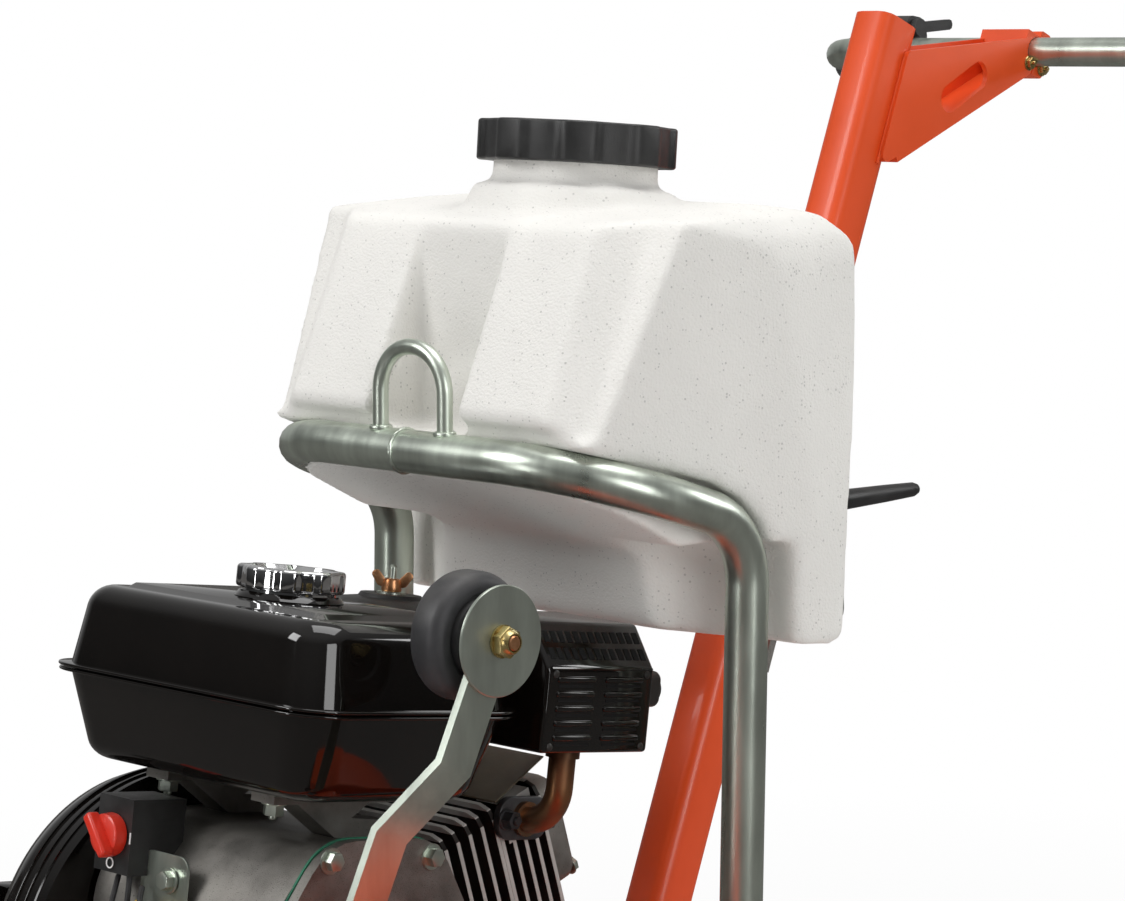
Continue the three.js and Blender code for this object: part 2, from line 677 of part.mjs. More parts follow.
const gripStart = barReach - gripLength + 14;
for (const [side, sign] of [['left', 1], ['right', -1]]) {
  const profile = [[0, barReach + 8], [gripRadius - 4, barReach + 8], [gripRadius, barReach + 3], [gripRadius, gripStart + 6],
    [gripRadius + 3, gripStart + 4], [gripRadius + 3, gripStart], [(barRadius + gap) / Math.cos(Math.PI / 24), gripStart],
    [(barRadius + gap) / Math.cos(Math.PI / 24), barReach + gap], [0, barReach + gap]];
  const geometry = new THREE.LatheGeometry(profile.map(([r, h]) => new THREE.Vector2(r, h)), 24);
  geometry.translate(sign * barHalfWidth, 0, 0);
  part(`grip_${side}`, solid(geometry), rubber, barFrame);
}

// throttle lever on the bar's right-hand half
const throttleX = -120;
const clampHalf = barRadius + 5.5;
const throttleRise = barRadius + 9.5;
part('throttle_clamp', cut(
  prism('x', rounded([[-clampHalf, -clampHalf, 6], [clampHalf, -clampHalf, 6], [clampHalf, clampHalf, 6],
    [9, throttleRise + 10, 8], [-9, throttleRise + 10, 8], [-clampHalf, clampHalf, 6]], 3), throttleX - 9, throttleX + 9),
  bore('x', [0, throttleRise], 4, throttleX - 20, throttleX + 20),
  bore('x', [0, 0], barRadius, throttleX - 20, throttleX + 20, gap),
), blackPlastic, barFrame);
const throttlePivot = [throttleX + 9 + gap, 0, throttleRise];
part('throttle_lever', join(
  rod('x', [0, throttlePivot[2]], 8, throttlePivot[0], throttlePivot[0] + 6, 20),
  prism('x', rounded([[0, throttlePivot[2] + 5, 2], [0, throttlePivot[2] - 5, 2], [46, throttlePivot[2] + 5, 4],
    [44, throttlePivot[2] + 14, 4]], 2), throttlePivot[0], throttlePivot[0] + 6),
  rod('x', [0, throttlePivot[2]], 4, throttlePivot[0] - 16, throttlePivot[0] + 1, 12),
), blackPlastic, barFrame);

// ---------------------------------------------------------------- roll hoop and lifting eye
const hoopPath = new BentPath([
  [hoopHalfWidth, hoopFootY, 60, 0],
  [hoopHalfWidth, hoopKneeY, hoopKneeZ, hoopKneeBend],
  [hoopHalfWidth, hoopBarY, hoopBarZ, hoopCornerBend],
  [-hoopHalfWidth, hoopBarY, hoopBarZ, hoopCornerBend],
  [-hoopHalfWidth, hoopKneeY, hoopKneeZ, hoopKneeBend],
  [-hoopHalfWidth, hoopFootY, 60, 0],
], 5);

function hoopFeet() {
  const [footY] = onDeck(hoopFootY, level(0, deckTop)[1]);
  return [-1, 1].map((side) => {
    const geometry = new THREE.BoxGeometry(38, 62, 8);
    geometry.translate(side * (hoopHalfWidth - 1), footY + 2, deckTop + gap + 4);
    geometry.rotateX(-deckPitch);
    return solid(geometry);
  });
}
part('roll_hoop', cut(join(tube(hoopPath, hoopRadius), ...hoopFeet()), belowDeck()), zinc, tower);

const eyePath = new BentPath([
  [-eyeHalfWidth, hoopBarY, hoopBarZ, 0],
  [-eyeHalfWidth, hoopBarY, hoopBarZ + eyeHeight, eyeHalfWidth - 1],
  [eyeHalfWidth, hoopBarY, hoopBarZ + eyeHeight, eyeHalfWidth - 1],
  [eyeHalfWidth, hoopBarY, hoopBarZ, 0],
], 4);
const barTool = bore('x', [hoopBarY, hoopBarZ], hoopRadius, -80, 80, gap);
part('lifting_eye', cut(tube(eyePath, eyeRodRadius, 10), barTool), zinc, tower);

// ---------------------------------------------------------------- water tank, in the level frame
const tankSide = [
  [28, 521, 14], [58, 852, 52], [-158, 838, 16], [hoopBarY - 4, hoopBarZ + 29, 5], [hoopBarY + 9, hoopBarZ + 22, 4],
  [hoopBarY + 9, hoopBarZ - 17, 6], [-82, 590, 16], [-76, 533, 12],
];
const slotHalfWidth = 46;

function waterTank() {
  const side = prism('x', rounded(tankSide, 3), -260, 260);
  const rear = tankRearHalfWidth;
  const plan = prism('z', rounded([[-rear, 66, 48], [-rear, 0, 160], [-196, -95, 160], [-166, -200, 30], [-150, -260, 0],
    [150, -260, 0], [166, -200, 30], [196, -95, 160], [rear, 0, 160], [rear, 66, 48]].reverse(), 3), 480, 900);
  const front = prism('y', rounded([[-rear - 4, 480, 0], [rear + 4, 480, 0], [rear - 9, 842, 36], [78, 854, 60],
    [-78, 854, 60], [-rear + 9, 842, 36]], 3), -300, 120);
  const slant = 58 / 129;
  const facets = [-1, 1].map((sign) => {
    const corner = [[sign * 118, -232], [sign * 160, -190], [sign * 200, -190], [sign * 200, -232]];
    const outline = (sign > 0 ? corner : corner.reverse()).map(([x, y]) => new THREE.Vector2(x, y));
    const geometry = new THREE.ExtrudeGeometry(new THREE.Shape(outline), { depth: 190, bevelEnabled: false });
    geometry.translate(0, 0, -10);
    geometry.applyMatrix4(new THREE.Matrix4().set(1, 0, 0, 0, 0, 1, slant, 0, 0, 0, 1, 0, 0, 0, 0, 1));
    geometry.translate(0, 0, hoopBarZ + 29);
    return solid(geometry);
  });
  const eyeSlot = box([-slotHalfWidth, slotHalfWidth], [-300, hoopBarY + 54], [hoopBarZ + 14, 835]);
  const sideRecess = [-1, 1].map((sign) => {
    const inner = hoopHalfWidth - hoopRadius - 1;
    const span = [sign * inner, sign * 260].sort((a, b) => a - b);
    return prism('x', rounded([[-320, 719, 0], [-208, 687, 0], [hoopKneeY + 17, 632, 76], [hoopKneeY + 12, 480, 0],
      [-320, 480, 0]].reverse(), 4), ...span);
  });
  const fall = (hoopKneeZ - hoopBarZ) / (hoopKneeY - hoopBarY);
  const outsideHoop = [-1, 1].map((sign) => {
    const outline = rounded([[sign * 60, hoopBarY, 0], [sign * hoopHalfWidth, hoopBarY, hoopCornerBend],
      [sign * hoopHalfWidth, hoopBarY + hoopCornerBend + 20, 0], [sign * 260, hoopBarY + hoopCornerBend + 20, 0],
      [sign * 260, -280, 0], [sign * 60, -280, 0]], 6);
    const shape = new THREE.Shape(sign > 0 ? outline.reverse() : outline);
    const geometry = new THREE.ExtrudeGeometry(shape, { depth: 60, bevelEnabled: false });
    geometry.translate(0, -hoopBarY, -60 + hoopRadius);
    geometry.applyMatrix4(new THREE.Matrix4().set(1, 0, 0, 0, 0, 1, 0, 0, 0, fall, 1, 0, 0, 0, 0, 1));
    geometry.translate(0, hoopBarY, hoopBarZ);
    return solid(geometry);
  });
  const heels = [-1, 1].map((sign) => {
    const outline = rounded([[sign * 96, -260, 0], [sign * 96, -86, 50], [sign * 176, -26, 30], [sign * 260, -26, 0],
      [sign * 260, -260, 0]], 4);
    return prism('z', sign > 0 ? outline.reverse() : outline, 480, 604);
  });
  const lowerCorner = [-1, 1].map((sign) => {
    const outline = rounded([[sign * 100, -260, 0], [sign * 100, -214, 0], [sign * 172, -205, 66], [sign * 172, -95, 0],
      [sign * 260, -95, 0], [sign * 260, -260, 0]], 4);
    return prism('z', sign > 0 ? outline.reverse() : outline, 480, hoopBarZ - 16);
  });
  const neckRing = (lowRadius, highRadius, from, to) => {
    const geometry = new THREE.CylinderGeometry(highRadius, lowRadius, to - from, 28).rotateX(Math.PI / 2);
    geometry.translate(0, 0, (from + to) / 2).rotateX(-tankNeckLean).translate(0, tankNeckY, tankNeckZ);
    return solid(geometry);
  };
  const neck = neckRing(tankNeckRadius, tankNeckRadius, -25, tankNeckHeight);
  const collar = neckRing(tankNeckRadius + 22, tankNeckRadius + 14, -18, 2);
  const mouth = neckRing(tankNeckRadius - 5, tankNeckRadius - 5, -23, tankNeckHeight + 5);
  const shell = cut(common(side, plan, front), ...facets, eyeSlot, ...sideRecess, ...outsideHoop, ...heels,
    ...lowerCorner);
  const bar = tube(hoopPath, hoopRadius + 0.35);
  return cut(join(shell, collar, neck), mouth, bar);
}
part('water_tank', waterTank(), whitePlastic, tower);

function tankCap() {
  const lobes = 8;
  const steps = 48;
  const outline = Array.from({ length: steps }, (_, k) => {
    const angle = (k * 2 * Math.PI) / steps;
    const radius = tankCapRadius - 2.2 + 2.2 * Math.tanh(3 * Math.cos(lobes * angle));
    return new THREE.Vector2(radius * Math.cos(angle), radius * Math.sin(angle));
  });
  const disc = prism('z', outline, 0, tankCapHeight, { bevel: 2, bevelDepth: 2, bevelSteps: 1 });
  const hollow = rod('z', [0, 0], tankNeckRadius + 1.2, -1, tankCapHeight - tankCapTop, 28);
  return cut(disc, hollow);
}
const cap = part('tank_cap', tankCap(), blackPlastic, tower);
const capSeat = tankNeckHeight - (tankCapHeight - tankCapTop) + gap;
cap.position.set(0, tankNeckY + capSeat * Math.sin(tankNeckLean), tankNeckZ + capSeat * Math.cos(tankNeckLean));
cap.rotation.x = -tankNeckLean;

// bracket from the column to the tank's rear wall, in the column's frame
function tankBracket() {
  const rearAt = (z) => 28 + ((z - 521) * 30) / 331 + gap + 0.05;
  const [q1, s1] = onColumn(rearAt(600), 600);
  const [q2, s2] = onColumn(rearAt(690), 690);
  const columnFront = -columnHalfDepth - gap;
  const outline = [[q1, s1], [columnFront, s1 - 10], [columnFront, s2 - 40], [q2, s2]]
    .map(([q, s]) => new THREE.Vector2(q, s));
  const block = prism('x', outline, -32, 32);
  const hollow = prism('x', [[q1 + 5, s1 - 40], [columnFront - 6, s1 - 40], [columnFront - 6, s2 + 60], [q2 + 5, s2 + 60]]
    .map(([q, s]) => new THREE.Vector2(q, s)), -28, 28);
  return cut(block, hollow);
}
part('tank_bracket', tankBracket(), orange, column);


// ---------------------------------------------------------------- engine, in the deck's frame
// cylinder's frame: y along the cylinder's axis from the crank, z across it
function alongCylinder(body) {
  const geometry = geometryOf(body);
  geometry.rotateX(cylinderTilt);
  geometry.translate(0, crankY, crankZ);
  return solid(geometry);
}
const beyondJoint = (from) => alongCylinder(box([-300, 300], [from, 600], [-400, 400]));
const engineFloor = deckTop + gap;
const caseOutline = (grow) => rounded([[crankcaseFront + 14 - grow, engineFloor, 0],
  [crankcaseFront + 20 - grow, 315, 60], [-448, 360 + grow, 46], [-330, 360 + grow, 20],
  [-300, 300, 30], [-300, engineFloor, 0]], 4);

function crankcase() {
  const body = prism('x', caseOutline(0), -crankcaseHalfWidth, crankcaseHalfWidth);
  const foot = box([-crankcaseHalfWidth + 8, crankcaseHalfWidth - 8], [crankcaseFront - 8, -280], [engineFloor, engineFloor + 12]);
  const boss = box([switchX - 19, switchX + 19], [-505, -460], [switchZ - 27, switchZ + 27]);
  return cut(join(body, foot), beyondJoint(cylinderStart), boss,
    bore('x', [crankY, crankZ], crankshaftRadius, 30, 120));
}
part('crankcase', crankcase(), castAluminium);

function sideCover() {
  const disc = rounded([[-500, engineFloor + 12, 10], [-480, 315, 60], [-448, 366, 46], [-345, 366, 40], [-306, 310, 40],
    [-304, engineFloor + 12, 10]], 4);
  const plate = prism('x', disc, crankcaseHalfWidth + gap, crankcaseHalfWidth + 10);
  const dome = solid(new THREE.CylinderGeometry(52, 78, 22, 20).rotateZ(-Math.PI / 2)
    .translate(crankcaseHalfWidth + 19, crankY, crankZ));
  const nose = rod('x', [crankY, crankZ], 26, crankcaseHalfWidth + 20, crankcaseHalfWidth + 37, 20);
  return cut(join(plate, dome, nose), bore('x', [crankY, crankZ], crankshaftRadius, 80, 160));
}
part('side_cover', sideCover(), castAluminium);

// fins stand across the cylinder's axis, on a barrel or a head
function finned(from, to, count, core, tall) {
  const barrel = rod('y', [0, 0], core, from, to, 20);
  const pitch = (to - from - 3.4) / (count - 1);
  const fins = Array.from({ length: count }, (_, k) => {
    const at = from + k * pitch;
    return prism('y', rounded([[-finHalfWidth, -tall, 12], [finHalfWidth, -tall, 12], [finHalfWidth, tall, 12],
      [-finHalfWidth, tall, 12]], 2), at, at + 3.4);
  });
  return join(barrel, ...fins);
}
part('cylinder', alongCylinder(finned(cylinderStart + gap, cylinderEnd, 7, 46, 62)), finBlack);
part('cylinder_head', alongCylinder(join(finned(cylinderEnd + gap, headEnd, 5, 50, 58),
  box([40, finHalfWidth], [198, 228], [26, 58]))), finBlack);
part('head_cover', alongCylinder(prism('y', rounded([[-50, -44, 18], [50, -44, 18], [50, 44, 18], [-50, 44, 18]], 4),
  headEnd + gap, coverEnd, { bevel: 5, bevelDepth: 5, bevelSteps: 2 })), castAluminium);

// fan cover: a drum open towards the engine, cut flat over the deck
function fanCover() {
  const inner = -crankcaseHalfWidth - gap;
  const outer = inner - fanDepth;
  const drum = turned([[0, outer], [fanRadius - 16, outer], [fanRadius, outer + 16], [fanRadius, inner], [0, inner]],
    crankY, crankZ, 28);
  const hollow = turned([[0, outer + 3], [fanRadius - 18, outer + 3], [fanRadius - 3, outer + 18], [fanRadius - 3, inner - 3],
    [0, inner - 3]], crankY, crankZ, 28);
  const eye = rod('x', [crankY, crankZ], 46, inner - 10, inner + 5, 20);
  const floor = box([-300, 0], [-700, -100], [0, engineFloor + 5]);
  const hollowFloor = box([-300, 0], [-700, -100], [0, engineFloor + 8]);
  const intake = rod('x', [crankY, crankZ], recoilRadius - 22, outer - 5, outer + 8, 20);
  return cut(drum, floor, cut(hollow, hollowFloor), eye, intake);
}
part('fan_cover', fanCover(), blackPaint);

const recoilInner = -crankcaseHalfWidth - gap - fanDepth - gap;
function recoilCover() {
  const outer = recoilInner - recoilDepth;
  const dome = turned([[0, outer], [recoilRadius - 34, outer], [recoilRadius - 24, outer + 5], [recoilRadius - 12, outer + 18],
    [recoilRadius, outer + 24], [recoilRadius, recoilInner], [0, recoilInner]], crankY, crankZ, 24);
  const hollow = turned([[0, outer + 4], [recoilRadius - 30, outer + 4], [recoilRadius - 6, recoilInner + 2], [0, recoilInner + 2]],
    crankY, crankZ, 24);
  const slots = Array.from({ length: 6 }, (_, k) => {
    const angle = (k * Math.PI) / 3 + Math.PI / 6;
    return rod('x', [crankY + 48 * Math.cos(angle), crankZ + 48 * Math.sin(angle)], 8, outer - 5, outer + 10, 8);
  });
  const guide = box([recoilInner - 26, recoilInner - 4], [crankY - 114, crankY - 84], [crankZ + 20, crankZ + 48]);
  const ropeHole = rod('y', [recoilInner - 15, crankZ + 34], 3, crankY - 130, crankY - 60, 12);
  return cut(join(dome, guide), hollow, ...slots, ropeHole);
}
part('recoil_cover', recoilCover(), blackPaint);
part('starter_grip', join(
  rod('y', [recoilInner - 15, crankZ + 34], 5, crankY - 124, crankY - 114 - gap, 12),
  prism('y', rounded([[recoilInner - 24, crankZ - 4, 7], [recoilInner - 6, crankZ - 4, 7], [recoilInner - 6, crankZ + 72, 7],
    [recoilInner - 24, crankZ + 72, 7]], 3), crankY - 141, crankY - 123),
), blackPlastic);

// engine switch on the crankcase's front corner
part('switch_box', cut(box([switchX - 19 + gap, switchX + 19 - gap], [-508, -460 - gap], [switchZ - 27 + gap, switchZ + 27 - gap]),
  bore('y', [switchX, switchZ], 5, -520, -490, running)), blackPlastic);
part('engine_switch', join(rod('y', [switchX, switchZ], 15, -517, -508 - running, 24),
  rod('y', [switchX, switchZ], 5, -509, -493, 16),
  box([switchX - 4, switchX + 4], [-526, -516], [switchZ - 15, switchZ + 15])), redPlastic);

// two arms carry the fuel tank over the crankcase
const armTop = fuelBottom - gap;
for (const [side, x] of [['left', 48], ['right', -66]]) {
  const outline = [[-462, armTop], [-462, armTop - 9], [-440, armTop - 9], [-402, 360 + gap], [-352, 360 + gap],
    [-352, 372], [-388, 374], [-372, armTop - 9], [-340, armTop - 9], [-340, armTop]]
    .map(([y, z]) => new THREE.Vector2(y, z));
  part(`tank_arm_${side}`, prism('x', outline, x - 12, x + 12), castAluminium);
}

const fuelPlan = (inset, radius) => rounded([[-fuelHalfWidth + inset, fuelFront + inset, radius],
  [fuelHalfWidth - inset, fuelFront + inset, radius], [fuelHalfWidth - inset, fuelRear - inset, radius],
  [-fuelHalfWidth + inset, fuelRear - inset, radius]], 3);
const fuelCapY = -412;
function fuelLower() {
  const pan = prism('z', fuelPlan(8, 34), fuelBottom, fuelSeam - gap / 2, { bevel: 14, bevelDepth: 16, bevelSteps: 2 });
  const high = box([-200, 200], [-600, -200], [fuelSeam - 18, fuelSeam + 20]);
  const wall = prism('z', fuelPlan(8, 34), fuelSeam - 18, fuelSeam - gap / 2);
  const flange = prism('z', fuelPlan(0, 40), fuelSeam - 3, fuelSeam - gap / 2);
  const inside = prism('z', fuelPlan(11, 31), fuelBottom + 16, fuelSeam + 5);
  return cut(join(cut(pan, high), wall, flange), inside);
}
part('fuel_tank_lower', fuelLower(), blackPaint);
function fuelUpper() {
  const flange = prism('z', fuelPlan(0, 40), fuelSeam + gap / 2, fuelSeam + 3);
  const dome = prism('z', fuelPlan(8, 34), fuelSeam - 20, fuelTop, { bevel: 20, bevelDepth: 18, bevelSteps: 3 });
  const low = box([-200, 200], [-600, -200], [fuelSeam - 40, fuelSeam + gap / 2]);
  const inside = prism('z', fuelPlan(11, 31), fuelSeam - 30, fuelTop - 18);
  const neck = rod('z', [0, fuelCapY], 30, fuelTop - 20, fuelTop + 8, 20);
  const mouth = rod('z', [0, fuelCapY], 26, fuelSeam, fuelTop + 12, 20);
  return cut(join(cut(dome, low), flange, neck), inside, mouth);
}
part('fuel_tank_upper', fuelUpper(), blackPaint);

function fuelCap() {
  const outline = Array.from({ length: 32 }, (_, k) => {
    const angle = (k * 2 * Math.PI) / 32;
    const radius = fuelCapRadius - 1.6 + 1.6 * Math.cos(8 * angle);
    return new THREE.Vector2(radius * Math.cos(angle), fuelCapY + radius * Math.sin(angle));
  });
  const disc = prism('z', outline, fuelTop + 1, fuelTop + 24, { bevel: 3, bevelDepth: 3, bevelSteps: 1 });
  return cut(disc, rod('z', [0, fuelCapY], 30 + running + 0.4, fuelTop, fuelTop + 8 + gap, 20));
}
part('fuel_cap', fuelCap(), chrome);

// intake on the right-hand side of the head
const cleanerY = -227;
const cleanerX = -90;
part('carburettor', cut(join(box([-118, -finHalfWidth - gap], [cleanerY - 22, cleanerY + 26], [316, 362]),
  rod('z', [cleanerX, cleanerY], 22, 360, 412, 24), rod('z', [cleanerX, cleanerY], 34, 406, 416, 24)),
alongCylinder(box([-finHalfWidth - gap, finHalfWidth], [100, 300], [-80, 80]))), castAluminium);
part('air_cleaner', solid(new THREE.LatheGeometry([[0, 0], [54, 0], [58, 4], [58, 78], [61, 80], [61, 88], [54, 98], [20, 104],
  [0, 104]].map(([r, h]) => new THREE.Vector2(r, h)), 24).rotateX(Math.PI / 2).translate(cleanerX, cleanerY, 416 + gap)),
blackPlastic);

// exhaust: oval flange and pipe up the head's left-hand side into the muffler
const muffY = (guardFront + guardRear) / 2;
part('muffler', join(
  prism('y', rounded([[guardInnerX + 12, guardBottom + 8, 22], [guardFaceX - 12, guardBottom + 8, 22],
    [guardFaceX - 12, guardTop - 26, 22], [guardInnerX + 12, guardTop - 26, 22]], 4), guardFront + 10, guardRear - 12),
  rod('y', [outletX, outletZ], outletRadius, guardRear - 14, guardRear + outletReach, 20),
  ...[-250, -210].map((y) => rod('z', [80, y], 7, guardTop - 27, guardTop - sheet - gap, 10)),
), satinBlack);
function exhaustPipe() {
  const rise = new BentPath([[finHalfWidth, portY, portZ, 0], [pipeX, portY, portZ, pipeBend],
    [pipeX, portY, guardBottom + 8 - gap, 0]], 5);
  const flange = prism('x', rounded([[portY - 26, portZ - 17, 14], [portY + 26, portZ - 17, 14],
    [portY + 26, portZ + 17, 14], [portY - 26, portZ + 17, 14]], 4), finHalfWidth + gap, finHalfWidth + 7);
  return cut(join(tube(rise, pipeRadius, 14), flange), box([0, finHalfWidth + gap], [-400, -100], [300, 430]));
}
part('exhaust_pipe', exhaustPipe(), heatedSteel);

function mufflerGuard() {
  const section = (inset) => [
    [guardInnerX + inset, guardBottom - (inset ? 10 : 0)], [guardFaceX - inset, guardBottom - (inset ? 10 : 0)],
    [guardFaceX - inset, guardShoulder], [118 - inset / 2, guardTop - inset], [guardInnerX + inset, guardTop - inset],
  ].map(([x, z]) => new THREE.Vector2(x, z));
  const shell = prism('y', section(0), guardFront, guardRear);
  const hollow = prism('y', section(sheet), guardFront + sheet, guardRear - sheet);
  const slots = Array.from({ length: 5 }, (_, k) => {
    const z = guardBottom + 10 + k * 11;
    return box([guardFaceX - 6, guardFaceX + 4], [guardFront + 14, guardRear - 14], [z, z + 5]);
  });
  const outlet = rod('y', [outletX, outletZ], outletRadius + 2, guardRear - 10, guardRear + 10, 20);
  return cut(shell, hollow, ...slots, outlet);
}
part('muffler_guard', mufflerGuard(), blackPaint);

// ---------------------------------------------------------------- blade drive
part('crankshaft', join(rod('x', [crankY, crankZ], crankshaftRadius, 34, pulleyX + pulleyWidth / 2 + 4, 24),
  turned([[0, pulleyX - 24], [enginePulleyRadius, pulleyX - 24], [enginePulleyRadius, pulleyX - 19], [enginePulleyRadius - 4,
    pulleyX - 19], [enginePulleyRadius - 4, pulleyX + 19], [enginePulleyRadius, pulleyX + 19], [enginePulleyRadius, pulleyX + 24],
  [0, pulleyX + 24]], crankY, crankZ, 20)), darkSteel);

const shaftEnd = bladeX + bladeThickness / 2 + flangeThickness + 14;
part('blade_shaft', join(rod('x', [shaftY, shaftZ], shaftRadius, -deckHalfWidth - 8, shaftEnd, 20),
  turned([[0, pulleyX - 24], [shaftPulleyRadius, pulleyX - 24], [shaftPulleyRadius, pulleyX - 19], [shaftPulleyRadius - 4,
    pulleyX - 19], [shaftPulleyRadius - 4, pulleyX + 19], [shaftPulleyRadius, pulleyX + 19], [shaftPulleyRadius, pulleyX + 24],
  [0, pulleyX + 24]], shaftY, shaftZ, 20),
  rod('x', [shaftY, shaftZ], flangeRadius, bladeX - bladeThickness / 2 - gap - flangeThickness + 2,
    bladeX - bladeThickness / 2 - gap, 20)), darkSteel);

const beltLine = (grow) => capsule([shaftY, shaftZ], [crankY, crankZ], shaftPulleyRadius - 4 + grow,
  enginePulleyRadius - 4 + grow, 14);
part('drive_belt', cut(prism('x', beltLine(running + beltThickness), pulleyX - 18, pulleyX + 18),
  prism('x', beltLine(running), pulleyX - 20, pulleyX + 20)), rubber);

for (const [side, sign] of [['left', 1], ['right', -1]]) {
  const inner = sign * (deckHalfWidth - railThickness - gap);
  const span = [inner, inner - sign * 16].sort((a, b) => a - b);
  const foot = box(span, [shaftY - 44, shaftY + 44], [shaftZ + 10, deckTop - deckThickness - gap]);
  part(`bearing_${side}`, cut(join(rod('x', [shaftY, shaftZ], 38, ...span, 20), foot),
    bore('x', [shaftY, shaftZ], shaftRadius, -140, 140, running)), castAluminium);
}

function beltGuard() {
  const from = deckHalfWidth + gap;
  const shell = prism('x', capsule([shaftY, shaftZ], [crankY, crankZ], 64, 57, 14), from, beltGuardOuter);
  const hollow = prism('x', capsule([shaftY, shaftZ], [crankY, crankZ], 61, 54, 14), from + 3, beltGuardOuter - 3);
  const shaftHole = bore('x', [shaftY, shaftZ], shaftRadius, from - 5, beltGuardOuter + 5, 4);
  const noseHole = bore('x', [crankY, crankZ], 30, from - 5, from + 5, 0);
  return cut(shell, hollow, shaftHole, noseHole);
}
part('belt_guard', beltGuard(), orange);

function blade() {
  const segments = 16;
  const outline = Array.from({ length: segments }, (_, k) => {
    const at = (turn, radius) => {
      const angle = ((k + turn) * 2 * Math.PI) / segments;
      return new THREE.Vector2(shaftY + radius * Math.cos(angle), shaftZ + radius * Math.sin(angle));
    };
    const root = bladeRadius - 12;
    return [at(0, root), at(0.06, bladeRadius), at(0.5, bladeRadius), at(0.88, bladeRadius), at(0.94, root)];
  }).flat();
  return cut(prism('x', outline, bladeX - bladeThickness / 2, bladeX + bladeThickness / 2),
    bore('x', [shaftY, shaftZ], shaftRadius, bladeX - 10, bladeX + 10, gap));
}
part('blade', blade(), brightSteel);

const outerFlangeAt = bladeX + bladeThickness / 2 + gap;
part('outer_flange', cut(join(rod('x', [shaftY, shaftZ], flangeRadius, outerFlangeAt, outerFlangeAt + flangeThickness - 2, 20),
  rod('x', [shaftY, shaftZ], 22, outerFlangeAt + 7, outerFlangeAt + 20, 6)),
bore('x', [shaftY, shaftZ], shaftRadius, 200, 300, gap)), darkSteel);

function sector(from, to, radius, inner, grow = 0) {
  const count = Math.max(4, Math.round((to - from) / 7.5));
  const arc = Array.from({ length: count + 1 }, (_, k) => {
    const angle = rad(from + ((to - from) * k) / count);
    return new THREE.Vector2(shaftY + radius * Math.cos(angle), shaftZ + grow + radius * Math.sin(angle));
  });
  const back = inner ? arc.map((p) => p.clone().sub(new THREE.Vector2(shaftY, shaftZ)).multiplyScalar(inner / radius)
    .add(new THREE.Vector2(shaftY, shaftZ))).reverse() : [new THREE.Vector2(shaftY, shaftZ)];
  return [...arc, ...back];
}
const bossEnd = bladeGuardInner + bladeGuardSheet + 3.4;
function bladeGuard() {
  const shell = prism('x', sector(-10, 130, bladeGuardRadius, 0), bladeGuardInner, bladeGuardOuter);
  const hollow = prism('x', sector(-16, 136, bladeGuardRadius - bladeGuardSheet, 0), bladeGuardInner + bladeGuardSheet,
    bladeGuardOuter - bladeGuardSheet);
  const boss = rod('x', [shaftY, shaftZ], guardHubRadius, beltGuardOuter + gap, bossEnd, 20);
  const disc = rod('x', [shaftY, shaftZ], 56, bladeGuardInner, bladeGuardInner + bladeGuardSheet, 20);
  return cut(join(cut(shell, hollow), disc, boss), bore('x', [shaftY, shaftZ], shaftRadius, 190, 240, 4));
}
part('blade_guard', bladeGuard(), orange);

function frontGuard() {
  const from = bladeGuardInner + bladeGuardSheet + running;
  const to = bladeGuardOuter - bladeGuardSheet - running;
  const radius = bladeGuardRadius - bladeGuardSheet - running - 1;
  const skin = 2;
  const shell = prism('x', sector(112, 192, radius, 0), from, to);
  const hollow = prism('x', sector(106, 198, radius - skin, 0), from + skin, to + 5);
  const face = prism('x', sector(112, 192, radius, 130), to - skin, to);
  const hub = rod('x', [shaftY, shaftZ], guardHubRadius + 14, from, from + skin, 20);
  return cut(join(cut(shell, hollow), face, hub),
    bore('x', [shaftY, shaftZ], guardHubRadius, 200, 260, running));
}
part('blade_guard_front', frontGuard(), satinBlack);

// ---------------------------------------------------------------- cutting guide, its frame along the arm
const guide = new THREE.Group();
guide.position.set(0, guidePivotY, guidePivotZ);
guide.rotation.x = -guideLean;
deck.add(guide);
const half = guideThickness / 2;

function guideArm() {
  const side = rounded([[-guideWidth / 2, -guideWidth / 2, 14], [guideWidth / 2, -guideWidth / 2, 14],
    [guideWidth / 2, guideLength + guideWidth / 2, 14], [-guideWidth / 2, guideLength + guideWidth / 2, 14]], 4);
  const front = [[guideLowerX - half, -20], [guideLowerX + half, -20], [guideLowerX + half, guideBendLow - 1],
    [guideUpperX + half, guideBendHigh - 1], [guideUpperX + half, guideLength + 20], [guideUpperX - half, guideLength + 20],
    [guideUpperX - half, guideBendHigh + 1], [guideLowerX - half, guideBendLow + 1]].map(([x, z]) => new THREE.Vector2(x, z));
  return cut(common(prism('x', side, 150, 250), prism('y', front, -40, 40)),
    bore('x', [0, 0], guideBoltRadius, 150, 200, running), bore('x', [0, guideLength], guideBoltRadius, 200, 250, gap));
}
part('guide_arm', guideArm(), zinc, guide);

const guideOuter = guideLowerX + half + running;
part('guide_bolt', join(rod('x', [0, 0], guideBoltRadius, deckHalfWidth - 46, guideOuter + 16, 20),
  rod('x', [0, 0], 10.5, deckHalfWidth - 48, deckHalfWidth - 40 - gap, 6), rod('x', [0, 0], 13, guideOuter, guideOuter + 2, 24),
  rod('x', [0, 0], 10.5, guideOuter + 1, guideOuter + 12, 6)), yellowZinc, guide);

